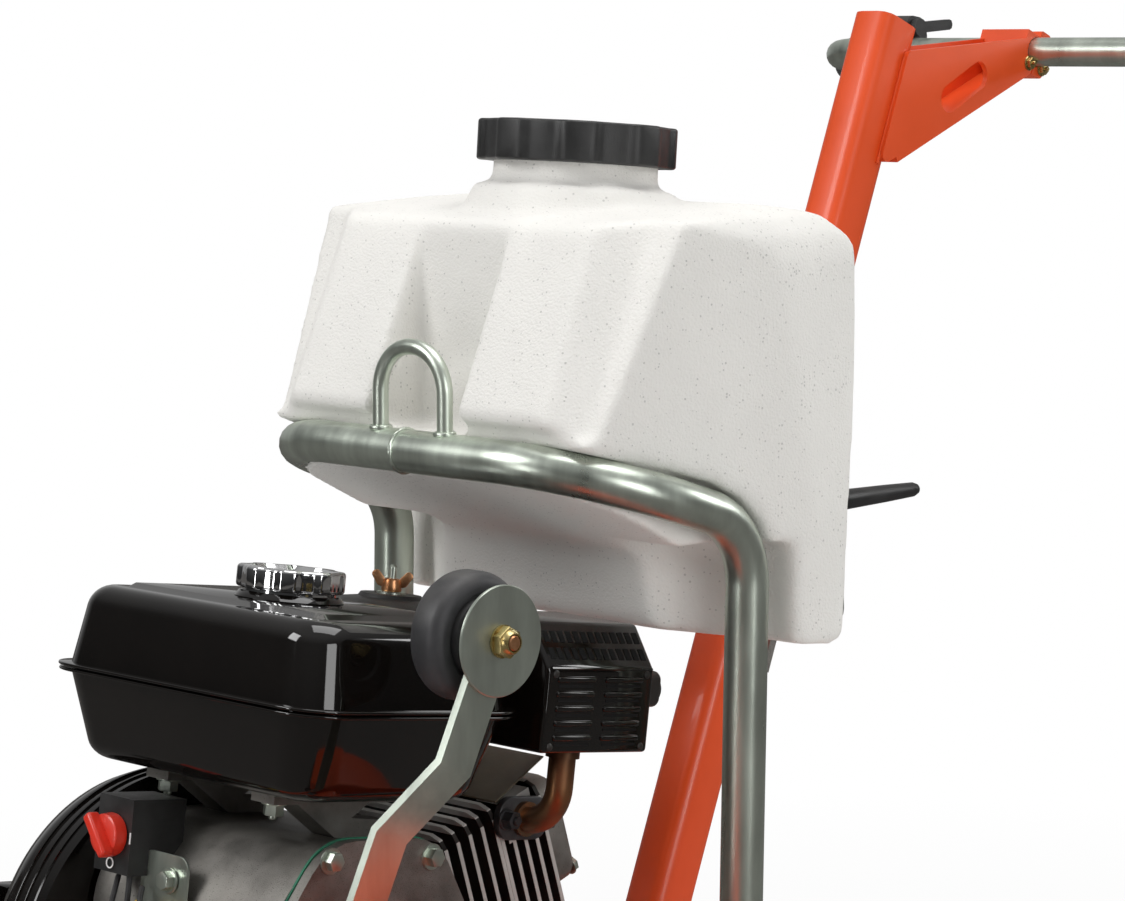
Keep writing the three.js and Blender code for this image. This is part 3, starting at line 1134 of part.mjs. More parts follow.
const discAt = guideUpperX + half + gap;
part('guide_disc', cut(rod('x', [0, guideLength], guideDiscRadius, discAt, discAt + guideDiscThickness, 28),
  bore('x', [0, guideLength], guideBoltRadius, 200, 250, gap)), zinc, guide);
const nutAt = discAt + guideDiscThickness + gap;
const wheelInner = guideWheelX - guideWheelWidth / 2;
part('guide_axle', join(rod('x', [0, guideLength], guideBoltRadius, wheelInner - 8, nutAt + 15, 20),
  rod('x', [0, guideLength], 10.5, wheelInner - 9, wheelInner - 1 - running, 6), rod('x', [0, guideLength], 10.5, nutAt, nutAt + 11, 6),
  rod('x', [0, guideLength], 11, wheelInner + guideWheelWidth + 4 + running, guideUpperX - half - gap, 20)), yellowZinc, guide);

const hole = (guideBoltRadius + running) / Math.cos(Math.PI / 24);
const guideWheel = part('guide_wheel', turned([[hole, -16], [14, -16], [14, -13], [26, -13], [30, -15], [guideWheelRadius - 4, -15],
  [guideWheelRadius, -11], [guideWheelRadius, 11], [guideWheelRadius - 4, 15], [30, 15], [26, 12], [18, 12], [18, 19], [hole, 19],
  [hole, -16]], 0, 0, 24), greyRubber, guide);
guideWheel.position.set(guideWheelX, 0, guideLength);

// ---------------------------------------------------------------- origin: middle of the footprint, on the floor
saw.updateMatrixWorld(true);
const extent = new THREE.Box3().setFromObject(saw, true);
machine.position.x -= (extent.min.x + extent.max.x) / 2;
machine.position.y -= (extent.min.y + extent.max.y) / 2;

export default saw;
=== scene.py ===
"""The looks of a walk-behind concrete saw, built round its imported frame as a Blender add-on."""

import json
import math

import bmesh
import bpy
from bpy.props import FloatProperty, FloatVectorProperty, IntProperty, PointerProperty
from mathutils import Matrix, Vector


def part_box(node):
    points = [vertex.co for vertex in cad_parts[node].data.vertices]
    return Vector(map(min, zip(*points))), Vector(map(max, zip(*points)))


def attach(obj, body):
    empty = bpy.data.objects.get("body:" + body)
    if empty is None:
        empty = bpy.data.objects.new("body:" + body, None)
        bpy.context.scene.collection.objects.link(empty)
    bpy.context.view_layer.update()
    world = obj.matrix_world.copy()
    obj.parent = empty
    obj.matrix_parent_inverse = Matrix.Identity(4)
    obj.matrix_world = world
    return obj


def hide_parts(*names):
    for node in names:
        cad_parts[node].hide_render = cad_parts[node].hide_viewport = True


bl_info = {
    "name": "Concrete Saw Finish",
    "version": (1, 0, 0),
    "blender": (4, 5, 0),
    "location": "3D View > Sidebar > Saw",
    "description": "Dresses the frame of a walk-behind concrete saw",
    "category": "Object",
}

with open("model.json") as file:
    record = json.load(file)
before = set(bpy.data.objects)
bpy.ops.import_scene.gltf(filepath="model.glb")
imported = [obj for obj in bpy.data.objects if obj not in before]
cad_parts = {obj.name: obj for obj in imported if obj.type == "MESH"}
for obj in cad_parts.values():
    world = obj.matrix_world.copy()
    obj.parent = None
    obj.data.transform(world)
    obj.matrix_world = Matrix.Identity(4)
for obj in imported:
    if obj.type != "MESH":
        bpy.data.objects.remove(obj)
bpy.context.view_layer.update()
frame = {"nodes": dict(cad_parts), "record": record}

# ------------------------------------------------------------------ frames, in millimetres
MM = 0.001
DECK_PITCH = math.radians(8)
COLUMN_LEAN = math.radians(13.66)
CYLINDER_TILT = math.radians(25)
GUIDE_LEAN = math.radians(18.5)
BAR_DROP = math.radians(8)


def turn(angle, axis="X"):
    return Matrix.Rotation(angle, 4, axis)


def at(x, y, z):
    return Matrix.Translation((x, y, z))


def middle(low, high):
    return (Vector(low) + Vector(high)) / 2


AXLE = middle(*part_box("rear_axle"))
LEVEL = Matrix.Translation(AXLE) @ Matrix.Scale(MM, 4)
DECK = LEVEL @ turn(-DECK_PITCH)
COLUMN = DECK @ at(0, -22.7, 135.3) @ turn(-COLUMN_LEAN)
ENGINE = DECK @ at(0, -400, 245)
CYLINDER = ENGINE @ turn(CYLINDER_TILT)
GUIDE = DECK @ at(0, -551, 150) @ turn(-GUIDE_LEAN)
CRANK = COLUMN @ at(0, 0, 388.6) @ turn(DECK_PITCH + COLUMN_LEAN)
BAR = COLUMN @ at(0, 175, 954) @ turn(DECK_PITCH + COLUMN_LEAN - BAR_DROP)
QUARTER = math.pi / 2
ALONG_X = turn(QUARTER, "Y")
AGAINST_X = turn(-QUARTER, "Y")
ALONG_Y = turn(-QUARTER)
AGAINST_Y = turn(QUARTER)                                     # an outline's plane stands up in X and Z
SIDEWAYS = Matrix(((0, 0, 1, 0), (1, 0, 0, 0), (0, 1, 0, 0), (0, 0, 0, 1)))  # an outline's plane is Y and Z

# sizes and places that several pieces share
HOOP_HALF, HOOP_RADIUS, HOOP_TOP = 188, 16, (-214, 669)     # the hoop's upper bar in Y and Z
FOOT_Y, FOOT_Z, BEND_Y, BEND_Z = -65, 140, -56, 617
FAN_RADIUS, FAN_DEPTH, FAN_FLAT = 139, 60, 104.5
CLEANER = (-90, -227)
PORT = (-226, 372)                                            # the exhaust port in Y and Z
PIPE_X = 105
BAR_HALF = 219
GUIDE_HUB = 389


# ------------------------------------------------------------------ settings
def colour(name, description, default):
    return FloatVectorProperty(name=name, description=description, subtype="COLOR", size=3, min=0, max=1,
                               default=default)


class SawColours(bpy.types.PropertyGroup):
    """Colours of the painted, plated and moulded pieces"""

    paint: colour("Paint", "Powder coat of the column, deck and guards", (0.78, 0.082, 0.012))
    zinc: colour("Zinc", "Plated tube and bar", (0.60, 0.655, 0.575))
    enamel: colour("Enamel", "Gloss enamel of the fuel tank and covers", (0.0034, 0.0026, 0.0021))
    tank: colour("Water tank", "Moulded water tank", (0.83, 0.815, 0.78))
    knob: colour("Switch", "Rotary switch", (0.68, 0.03, 0.012))


class SawDetails(bpy.types.PropertyGroup):
    """Sizes that only the looks use"""

    tube_sides: IntProperty(name="Tube sides", description="Facets round a bent tube", default=32, min=12,
                            max=64)
    turned_steps: IntProperty(name="Turned steps", description="Facets round a turned piece", default=72,
                              min=24, max=128)
    tank_voxel: FloatProperty(name="Tank voxel", description="Grain of the moulded tank's mesh",
                              default=0.0036, min=0.002, max=0.01, unit="LENGTH")
    tank_rounds: IntProperty(name="Tank rounding", description="Smoothing passes over the tank",
                             default=14, min=0, max=60)
    lens: FloatProperty(name="Lens", description="Focal length of the camera", default=108.8, min=20,
                        max=300, unit="CAMERA")


def colours():
    return bpy.context.scene.saw_colours


def details():
    return bpy.context.scene.saw_details


# ------------------------------------------------------------------ shader groups
def socket(group, name, kind, direction, default=None, low=None, high=None):
    item = group.interface.new_socket(name, in_out=direction, socket_type=kind)
    if default is not None:
        item.default_value = default
    if low is not None:
        item.min_value = low
        item.max_value = high
    return item


def add(tree, kind, **values):
    """A node with properties and inputs set by name or _number; a socket or a node is linked."""
    made = tree.nodes.new(kind)
    for key, value in values.items():
        if hasattr(made, key) and not key[0].isupper():
            setattr(made, key, value)
            continue
        target = made.inputs[int(key[1:])] if key[0] == "_" else made.inputs[key]
        if isinstance(value, bpy.types.Node):
            value = value.outputs[0]
        if isinstance(value, bpy.types.NodeSocket):
            tree.links.new(value, target)
        else:
            target.default_value = value
    return made


def maths(tree, operation, *values):
    return add(tree, "ShaderNodeMath", operation=operation,
               **{f"_{i}": value for i, value in enumerate(values)})


def vectors(tree, operation, *values):
    return add(tree, "ShaderNodeVectorMath", operation=operation,
               **{f"_{i}": v for i, v in enumerate(values)})


def spread(tree, value, low, high, to_low=0.0, to_high=1.0):
    return add(tree, "ShaderNodeMapRange", Value=value, _1=low, _2=high, _3=to_low, _4=to_high)


def own_coordinates(tree):
    return add(tree, "ShaderNodeTexCoord").outputs["Object"]


def grain_group():
    """Two sizes of noise over the piece, one stretched, for mottling, streaks and orange peel."""
    group = bpy.data.node_groups.get("Surface Grain")
    if group:
        return group
    group = bpy.data.node_groups.new("Surface Grain", "ShaderNodeTree")
    socket(group, "Scale", "NodeSocketFloat", "INPUT", 20.0)
    socket(group, "Stretch", "NodeSocketVector", "INPUT", (1.0, 1.0, 1.0))
    socket(group, "Fine Scale", "NodeSocketFloat", "INPUT", 900.0)
    socket(group, "Mottle", "NodeSocketFloat", "OUTPUT")
    socket(group, "Fine", "NodeSocketFloat", "OUTPUT")
    inside = add(group, "NodeGroupInput")
    coords = own_coordinates(group)
    stretched = vectors(group, "MULTIPLY", coords, inside.outputs["Stretch"])
    broad = add(group, "ShaderNodeTexNoise", Vector=stretched, Scale=inside.outputs["Scale"], Detail=5.0,
                Roughness=0.6)
    fine = add(group, "ShaderNodeTexNoise", Vector=coords, Scale=inside.outputs["Fine Scale"],
               Detail=2.0)
    mottle = spread(group, broad, 0.3, 0.7)
    out = add(group, "NodeGroupOutput")
    group.links.new(mottle.outputs[0], out.inputs["Mottle"])
    group.links.new(fine.outputs[0], out.inputs["Fine"])
    return group


def dust_group():
    """Dust that settles on faces that look up, broken by noise."""
    group = bpy.data.node_groups.get("Settled Dust")
    if group:
        return group
    group = bpy.data.node_groups.new("Settled Dust", "ShaderNodeTree")
    socket(group, "Amount", "NodeSocketFloat", "INPUT", 0.3, 0, 1)
    socket(group, "Mask", "NodeSocketFloat", "OUTPUT")
    inside = add(group, "NodeGroupInput")
    facing = add(group, "ShaderNodeSeparateXYZ", Vector=add(group,
                                                            "ShaderNodeNewGeometry").outputs["Normal"])
    upward = spread(group, facing.outputs["Z"], 0.2, 1.0)
    noise = add(group, "ShaderNodeTexNoise", Vector=own_coordinates(group), Scale=34.0,
                Detail=6.0)
    patchy = spread(group, noise, 0.35, 0.75)
    both = maths(group, "MULTIPLY", upward, patchy)
    mask = maths(group, "MULTIPLY", both, inside.outputs["Amount"])
    out = add(group, "NodeGroupOutput")
    group.links.new(mask.outputs[0], out.inputs["Mask"])
    return group


def pits_group():
    """Small round pits, as in a rotomoulded or cast skin."""
    group = bpy.data.node_groups.get("Pitted Skin")
    if group:
        return group
    group = bpy.data.node_groups.new("Pitted Skin", "ShaderNodeTree")
    socket(group, "Scale", "NodeSocketFloat", "INPUT", 260.0)
    socket(group, "Reach", "NodeSocketFloat", "INPUT", 0.22, 0, 1)
    socket(group, "Pits", "NodeSocketFloat", "OUTPUT")
    inside = add(group, "NodeGroupInput")
    coords = own_coordinates(group)
    cells = add(group, "ShaderNodeTexVoronoi", Vector=coords, Scale=inside.outputs["Scale"])
    chance = add(group, "ShaderNodeSeparateColor", Color=cells.outputs["Color"])
    size = maths(group, "MULTIPLY", chance, inside.outputs["Reach"])
    pit = maths(group, "LESS_THAN", cells.outputs["Distance"], size)
    rare = maths(group, "GREATER_THAN", chance.outputs[1], 0.55)
    mask = maths(group, "MULTIPLY", pit, rare)
    out = add(group, "NodeGroupOutput")
    group.links.new(mask.outputs[0], out.inputs["Pits"])
    return group


def placed(tree, group, **values):
    made = add(tree, "ShaderNodeGroup", node_tree=group)
    for key, value in values.items():
        made.inputs[key.replace("_", " ")].default_value = value
    return made


def mix(tree, mask, first, second):
    made = add(tree, "ShaderNodeMix", data_type="RGBA")
    tree.links.new(mask, made.inputs[0])
    for value, target in ((first, made.inputs[6]), (second, made.inputs[7])):
        if isinstance(value, bpy.types.NodeSocket):
            tree.links.new(value, target)
        else:
            target.default_value = (*value, 1.0)
    return made.outputs[2]


DUST = (0.42, 0.39, 0.34)
PALE_FIN_EDGE = (0.62, 0.6, 0.57)
CUTTING_RIM = (0.14, 0.13, 0.11)
FIN_SIDE, FIN_TOP = 65.6, 57.6        # where the fins' pale edges start, mm
RIM_START, RING_PITCH = 0.213, 3200.0  # the blade's rim in metres, and its turning marks


def finish(name, dark, light, roughness, metallic=0.0, scale=20.0, stretch=(1, 1, 1), fine=900.0, bump=0.1,
           depth=0.0004, dust=0.15, coat=0.0, pits=None, over=None):
    """A surface with mottled colour and roughness, fine bump, dust on top and any extra layer."""
    found = bpy.data.materials.get(name)
    if found:
        return found
    material = bpy.data.materials.new(name)
    material.use_nodes = True
    tree = material.node_tree
    shader = tree.nodes["Principled BSDF"]
    grain = placed(tree, grain_group(), Scale=scale, Stretch=stretch, Fine_Scale=fine)
    base = mix(tree, grain.outputs["Mottle"], dark, light)
    height = grain.outputs["Fine"]
    # Pits get a bump and a colour darker than the surface round them: the darker colour is painted shade
    # inside the pits.
    if pits:
        holes = placed(tree, pits_group(), Scale=pits[0], Reach=pits[1])
        base = mix(tree, holes.outputs[0], base, pits[2])
        height = maths(tree, "SUBTRACT", height, holes).outputs[0]
    if over:
        base = over(tree, base)
    if dust:
        settled = placed(tree, dust_group(), Amount=dust)
        base = mix(tree, settled.outputs[0], base, DUST)
    tree.links.new(base, shader.inputs["Base Color"])
    rough = add(tree, "ShaderNodeMapRange", Value=grain.outputs["Mottle"], _3=roughness[0], _4=roughness[1])
    tree.links.new(rough.outputs[0], shader.inputs["Roughness"])
    relief = add(tree, "ShaderNodeBump", Height=height, Strength=bump, Distance=depth)
    tree.links.new(relief.outputs[0], shader.inputs["Normal"])
    shader.inputs["Metallic"].default_value = metallic
    shader.inputs["Coat Weight"].default_value = coat
    shader.inputs["Coat Roughness"].default_value = 0.06
    return material


def fin_edges(tree, base):
    """A pale grey colour on the fins' outer edges."""
    coords = own_coordinates(tree)
    local = CYLINDER.inverted()
    turned = add(tree, "ShaderNodeMapping", vector_type="POINT")
    tree.links.new(coords, turned.inputs["Vector"])
    turned.inputs["Location"].default_value = local.translation
    turned.inputs["Rotation"].default_value = local.to_euler()
    turned.inputs["Scale"].default_value = local.to_scale()
    parts = add(tree, "ShaderNodeSeparateXYZ", Vector=turned)
    sideways = maths(tree, "ABSOLUTE", parts.outputs["X"])
    across = maths(tree, "ABSOLUTE", parts.outputs["Z"])
    side_edge = maths(tree, "GREATER_THAN", sideways, FIN_SIDE)
    top_edge = maths(tree, "GREATER_THAN", across, FIN_TOP)
    edge = maths(tree, "MAXIMUM", side_edge, top_edge)
    return mix(tree, edge.outputs[0], base, PALE_FIN_EDGE)


def heat_tint(tree, base):
    """Straw to copper to purple along the exhaust pipe's height."""
    low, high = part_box("exhaust_pipe")
    coords = own_coordinates(tree)
    parts = add(tree, "ShaderNodeSeparateXYZ", Vector=coords)
    noise = add(tree, "ShaderNodeTexNoise", Vector=coords, Scale=60.0)
    wave = maths(tree, "MULTIPLY_ADD", noise, 0.02, parts.outputs["Z"])
    height = spread(tree, wave, low[2], high[2])
    ramp = add(tree, "ShaderNodeValToRGB", Fac=height)
    ramp.color_ramp.elements[0].color = (0.33, 0.28, 0.22, 1)
    ramp.color_ramp.elements[1].color = (0.06, 0.035, 0.025, 1)
    middle = ramp.color_ramp.elements.new(0.55)
    middle.color = (0.42, 0.17, 0.06, 1)
    half = maths(tree, "MULTIPLY", height, 0.9)
    return mix(tree, half.outputs[0], base, ramp.outputs[0])


def turned_rings(tree, base):
    """Fine rings round the blade's centre and a darker cutting rim."""
    low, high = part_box("blade")
    centre = middle(low, high)
    coords = own_coordinates(tree)
    off = vectors(tree, "SUBTRACT", coords, centre)
    flat = vectors(tree, "MULTIPLY", off, (0, 1, 1))
    radius = vectors(tree, "LENGTH", flat)
    wave = maths(tree, "SINE", maths(tree, "MULTIPLY", radius.outputs["Value"], RING_PITCH))
    rings = spread(tree, wave, -1.0, 1.0, 0.0, 0.35)
    brushed = mix(tree, rings.outputs[0], base, (0.2, 0.2, 0.21))
    rim = maths(tree, "GREATER_THAN", radius.outputs["Value"], RIM_START)
    return mix(tree, rim.outputs[0], brushed, CUTTING_RIM)


def scaled(rgb, factor):
    return tuple(min(1.0, c * factor) for c in rgb)


def material(name):
    """The named finish, built when first asked for."""
    paint, zinc, enamel = colours().paint[:], colours().zinc[:], colours().enamel[:]
    tank, knob = colours().tank[:], colours().knob[:]
    # The colour given last in pits=(...) is darker than the surface: painted shade inside the pits.
    recipes = {
        "orange_paint": dict(dark=scaled(paint, 0.93), light=scaled(paint, 1.04), roughness=(0.34, 0.44),
                             scale=9, fine=700, bump=0.12, depth=0.0003, dust=0.02, coat=0.2),
        "zinc": dict(dark=scaled(zinc, 0.72), light=scaled(zinc, 1.2), roughness=(0.24, 0.42),
                     metallic=0.92, scale=14, stretch=(2.4, 1.4, 0.35), fine=1100, bump=0.1, depth=0.0002,
                     dust=0.05),
        "yellow_zinc": dict(dark=(0.42, 0.3, 0.1), light=(0.72, 0.58, 0.27), roughness=(0.2, 0.35),
                            metallic=0.95, scale=90, dust=0.03),
        "copper": dict(dark=(0.42, 0.16, 0.06), light=(0.78, 0.42, 0.22), roughness=(0.25, 0.4),
                       metallic=0.95, scale=120, dust=0.03),
        "cast_aluminium": dict(dark=(0.19, 0.18, 0.165), light=(0.34, 0.325, 0.3), roughness=(0.4, 0.58),
                               metallic=0.75, scale=28, fine=1500, bump=0.5, depth=0.0005, dust=0.25,
                               pits=(900, 0.35, (0.13, 0.12, 0.11))),
        "black_paint": dict(dark=enamel, light=scaled(enamel, 1.5), roughness=(0.05, 0.1), scale=16,
                            fine=300, bump=0.012, depth=0.0003, dust=0.006, coat=0.25),
        "satin_black": dict(dark=(0.014, 0.012, 0.011), light=(0.035, 0.03, 0.027), roughness=(0.32, 0.46),
                            scale=26, bump=0.15, dust=0.12),
        "fin_black": dict(dark=(0.016, 0.013, 0.012), light=(0.045, 0.038, 0.034), roughness=(0.38, 0.55),
                          metallic=0.3, scale=40, fine=1400, bump=0.4, depth=0.0005, dust=0.12,
                          over=fin_edges),
        "chrome": dict(dark=(0.7, 0.7, 0.7), light=(0.86, 0.86, 0.87), roughness=(0.05, 0.1), metallic=1.0,
                       scale=40, bump=0.02, depth=0.0001, dust=0.02),
        "white_plastic": dict(dark=scaled(tank, 0.965), light=scaled(tank, 1.02), roughness=(0.62, 0.78),
                              scale=11, fine=520, bump=0.75, depth=0.0009, dust=0.03,
                              pits=(330, 0.3, scaled(tank, 0.74))),
        "black_plastic": dict(dark=(0.012, 0.012, 0.012), light=(0.028, 0.028, 0.028),
                              roughness=(0.34, 0.5), scale=30, fine=1600, bump=0.35, dust=0.06),
        "red_plastic": dict(dark=scaled(knob, 0.88), light=knob, roughness=(0.3, 0.4), scale=60, bump=0.1,
                            dust=0.03, coat=0.2),
        "rubber": dict(dark=(0.017, 0.017, 0.018), light=(0.034, 0.034, 0.036), roughness=(0.58, 0.75),
                       scale=50, fine=1800, bump=0.4, dust=0.1),
        "tyre": dict(dark=(0.022, 0.022, 0.024), light=(0.048, 0.047, 0.05), roughness=(0.42, 0.62),
                     scale=30, fine=1300, bump=0.3, dust=0.16),
        "heated_steel": dict(dark=(0.2, 0.12, 0.07), light=(0.4, 0.24, 0.14), roughness=(0.3, 0.5),
                             metallic=0.9, scale=34, bump=0.2, dust=0.03, over=heat_tint),
        "steel": dict(dark=(0.3, 0.3, 0.31), light=(0.48, 0.48, 0.49), roughness=(0.25, 0.4),
                      metallic=0.95, scale=22, bump=0.1, dust=0.08, over=turned_rings),
        "dark_steel": dict(dark=(0.075, 0.075, 0.08), light=(0.17, 0.17, 0.175), roughness=(0.35, 0.55),
                           metallic=0.85, scale=32, bump=0.3, dust=0.15),
        "gasket": dict(dark=(0.02, 0.16, 0.09), light=(0.04, 0.24, 0.14), roughness=(0.6, 0.75), scale=60,
                       bump=0.2, dust=0.05),
        "olive_plate": dict(dark=(0.13, 0.105, 0.07), light=(0.21, 0.175, 0.12), roughness=(0.4, 0.55),
                            metallic=0.4, scale=30, bump=0.2, dust=0.1),
        "yellow_sleeve": dict(dark=(0.62, 0.4, 0.02), light=(0.85, 0.6, 0.05), roughness=(0.4, 0.5),
                              scale=80, bump=0.1, dust=0.05),
        # Near-black and matt: painted shade set in openings and gaps.
        "painted_shade": dict(dark=(0.002, 0.002, 0.002), light=(0.004, 0.004, 0.004), roughness=(0.9, 1.0),
                     bump=0.0, dust=0.0),
        "print": dict(dark=(0.7, 0.7, 0.69), light=(0.8, 0.8, 0.79), roughness=(0.5, 0.6), scale=50,
                      bump=0.05, dust=0.0),
    }
    return finish(f"{name}_finish", **recipes[name])


# ------------------------------------------------------------------ making and placing pieces
def piece(name, bm, finish_name, replaces=(), place=None, smooth=35.0, body="frame"):
    """A finished object from a bmesh in millimetres, put where a frame says and riding on a body."""
    if place is not None:
        bmesh.ops.transform(bm, matrix=place, verts=bm.verts)
    bmesh.ops.recalc_face_normals(bm, faces=bm.faces)
    mesh = bpy.data.meshes.new(name)
    bm.to_mesh(mesh)
    bm.free()
    return dressed(name, mesh, finish_name, replaces, smooth, body)


def dressed(name, mesh, finish_name, replaces=(), smooth=35.0, body="frame"):
    obj = bpy.data.objects.new(name, mesh)
    bpy.context.scene.collection.objects.link(obj)
    mesh.materials.clear()
    mesh.materials.append(material(finish_name))
    mesh.shade_smooth()
    mesh.set_sharp_from_angle(angle=math.radians(smooth))
    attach(obj, body)
    if replaces:
        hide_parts(*replaces)
    return obj


def merge(bm, other, place=None):
    """Adds another bmesh to this one, and frees it."""
    if place is not None:
        bmesh.ops.transform(other, matrix=place, verts=other.verts)
    mesh = bpy.data.meshes.new("merge")
    other.to_mesh(mesh)
    other.free()
    bm.from_mesh(mesh)
    bpy.data.meshes.remove(mesh)


def bevel(bm, edges, offset, segments):
    bmesh.ops.bevel(bm, geom=edges, offset=offset, segments=segments, profile=0.5, affect="EDGES",
                    material=-1)


def block(x, y, z, rounding=0.0, segments=3):
    bm = bmesh.new()
    size = Vector((x[1] - x[0], y[1] - y[0], z[1] - z[0]))
    centre = middle(*zip(x, y, z))
    bmesh.ops.create_cube(bm, size=1.0, matrix=Matrix.Translation(centre) @ Matrix.Diagonal((*size, 1)))
    if rounding:
        bevel(bm, bm.edges[:], rounding, segments)
    return bm


def turned(profile, steps=None):
    """A profile of (radius, height) points spun about Z, closed where it meets the axis."""
    steps = steps or details().turned_steps
    bm = bmesh.new()
    points = [bm.verts.new((radius, 0, height)) for radius, height in profile]
    for first, second in zip(points, points[1:]):
        bm.edges.new((first, second))
    bmesh.ops.spin(bm, geom=bm.verts[:] + bm.edges[:], cent=(0, 0, 0), axis=(0, 0, 1), dvec=(0, 0, 0),
                   angle=2 * math.pi, steps=steps, use_merge=True, use_duplicate=False)
    bmesh.ops.remove_doubles(bm, verts=bm.verts, dist=1e-4)
    bmesh.ops.dissolve_degenerate(bm, edges=bm.edges, dist=1e-5)
    return bm


def bent(corners, steps):
    """Points through (x, y, z, radius) corners, an arc at each corner that has a radius."""
    points = []
    for i, (x, y, z, radius) in enumerate(corners):
        here = Vector((x, y, z))
        if not radius:
            points.append(here)
            continue
        before = (Vector(corners[i - 1][:3]) - here).normalized()
        after = (Vector(corners[(i + 1) % len(corners)][:3]) - here).normalized()
        half = before.angle(after) / 2
        centre = here + (before + after).normalized() * (radius / math.sin(half))
        start = here + before * (radius / math.tan(half)) - centre
        axis = before.cross(after).normalized()
        for k in range(steps + 1):
            points.append(centre + Matrix.Rotation(-(math.pi - 2 * half) * k / steps, 3, axis) @ start)
    return points


def rounded(corners, steps=6):
    """A flat closed outline through (u, v, radius) corners."""
    return bent([(u, v, 0, radius) for u, v, radius in corners], steps)


def lobed(radius, swell, sharpness, points):
    """A round outline with eight soft lobes."""
    outline = []
    for k in range(points):
        angle = 2 * math.pi * k / points
        reach = radius + swell * math.tanh(sharpness * math.cos(8 * angle))
        outline.append(Vector((math.cos(angle), math.sin(angle), 0)) * reach)
    return outline


def slab(outline, low, high, rounding=0.0, segments=2):
    """An outline in X and Y extruded along Z, its rims bevelled."""
    bm = bmesh.new()
    face = bm.faces.new([bm.verts.new((p[0], p[1], low)) for p in outline])
    raised = bmesh.ops.extrude_face_region(bm, geom=[face])
    top = [v for v in raised["geom"] if isinstance(v, bmesh.types.BMVert)]
    bmesh.ops.translate(bm, verts=top, vec=(0, 0, high - low))
    bmesh.ops.recalc_face_normals(bm, faces=bm.faces)
    if rounding:
        bevel(bm, [e for e in bm.edges if abs(e.verts[0].co.z - e.verts[1].co.z) < 1e-6], rounding,
              segments)
    return bm


def tube(points, radius, place, sides=None):
    """A mesh tube of that radius along points given in a frame's millimetres."""
    curve = bpy.data.curves.new("tube", "CURVE")
    curve.dimensions = "3D"
    curve.bevel_depth = radius * MM
    curve.bevel_resolution = max(1, (sides or details().tube_sides) // 4 - 1)
    curve.use_fill_caps = True
    spline = curve.splines.new("POLY")
    spline.points.add(len(points) - 1)
    for target, point in zip(spline.points, points):
        target.co = (*(place @ Vector(point)), 1)
    holder = bpy.data.objects.new("tube", curve)
    mesh = bpy.data.meshes.new_from_object(holder)
    bpy.data.objects.remove(holder)
    bpy.data.curves.remove(curve)
    bm = bmesh.new()
    bm.from_mesh(mesh)
    bpy.data.meshes.remove(mesh)
    bmesh.ops.remove_doubles(bm, verts=bm.verts, dist=1e-6)
    return bm


def hexagon(across, height, hole=0.0):
    """A hex nut or bolt head along +Z with chamfered corners."""
    bm = bmesh.new()
    radius = across / math.sqrt(3)
    bmesh.ops.create_cone(bm, cap_ends=True, segments=6, radius1=radius, radius2=radius, depth=height,
                          matrix=Matrix.Translation((0, 0, height / 2)))
    top = [e for e in bm.edges if min(v.co.z for v in e.verts) > height - 1e-4]
    bevel(bm, top, across * 0.07, 2)
    if hole:
        merge(bm, turned([(0, height - 0.5), (hole, height - 0.5), (hole, height + 1.6),
                          (hole * 0.8, height + 2.6), (0, height + 2.6)], 24))
    return bm


def fastener(across=10.0, height=6.5, washer=None, hole=0.0):
    """A flanged hex bolt, or a nut on a stud, with its washer, standing on z = 0."""
    bm = hexagon(across, height, hole)
    rim = (washer or across * 0.68)
    merge(bm, turned([(0, 0), (rim, 0), (rim, 0.9), (rim - 0.4, 1.4), (0, 1.4)], 32))
    return bm


def fasteners(name, places, finish_name, **sizes):
    bm = bmesh.new()
    for place in places:
        merge(bm, fastener(**sizes), place)
    return piece(name, bm, finish_name, smooth=30)


def bead(path, radius, place, seed):
    """A weld bead: a tube along a path with its skin rippled in scales."""
    bm = tube(path, radius, place, 16)
    for vert in bm.verts:
        ripple = math.sin((vert.co.x * 2100 + vert.co.y * 1700 + vert.co.z * 2600) + seed)
        vert.co += vert.normal * ripple * radius * MM * 0.16
    return bm


def ring(radius, turns=28):
    return [Vector((radius * math.cos(2 * math.pi * k / turns), radius * math.sin(2 * math.pi * k / turns),
                    0)) for k in range(turns + 1)]


# ------------------------------------------------------------------ operators
class SawOperator:
    bl_options = {"REGISTER", "UNDO"}


class SAW_OT_carried_nodes(SawOperator, bpy.types.Operator):
    """Give every carried-over frame part its finish and smooth curved faces"""

    bl_idname = "saw.carried_nodes"
    bl_label = "Frame Parts"

    def execute(self, context):
        for entry in frame["record"]["subparts"]:
            obj = frame["nodes"][entry["node"]]
            obj.data.materials.clear()
            obj.data.materials.append(material(entry["material_slot"]))
            obj.data.shade_smooth()
            weld = obj.modifiers.new("Weld", "WELD")
            weld.merge_threshold = 0.00002
            split = obj.modifiers.new("Split", "EDGE_SPLIT")
            split.split_angle = math.radians(38)
        return {"FINISHED"}


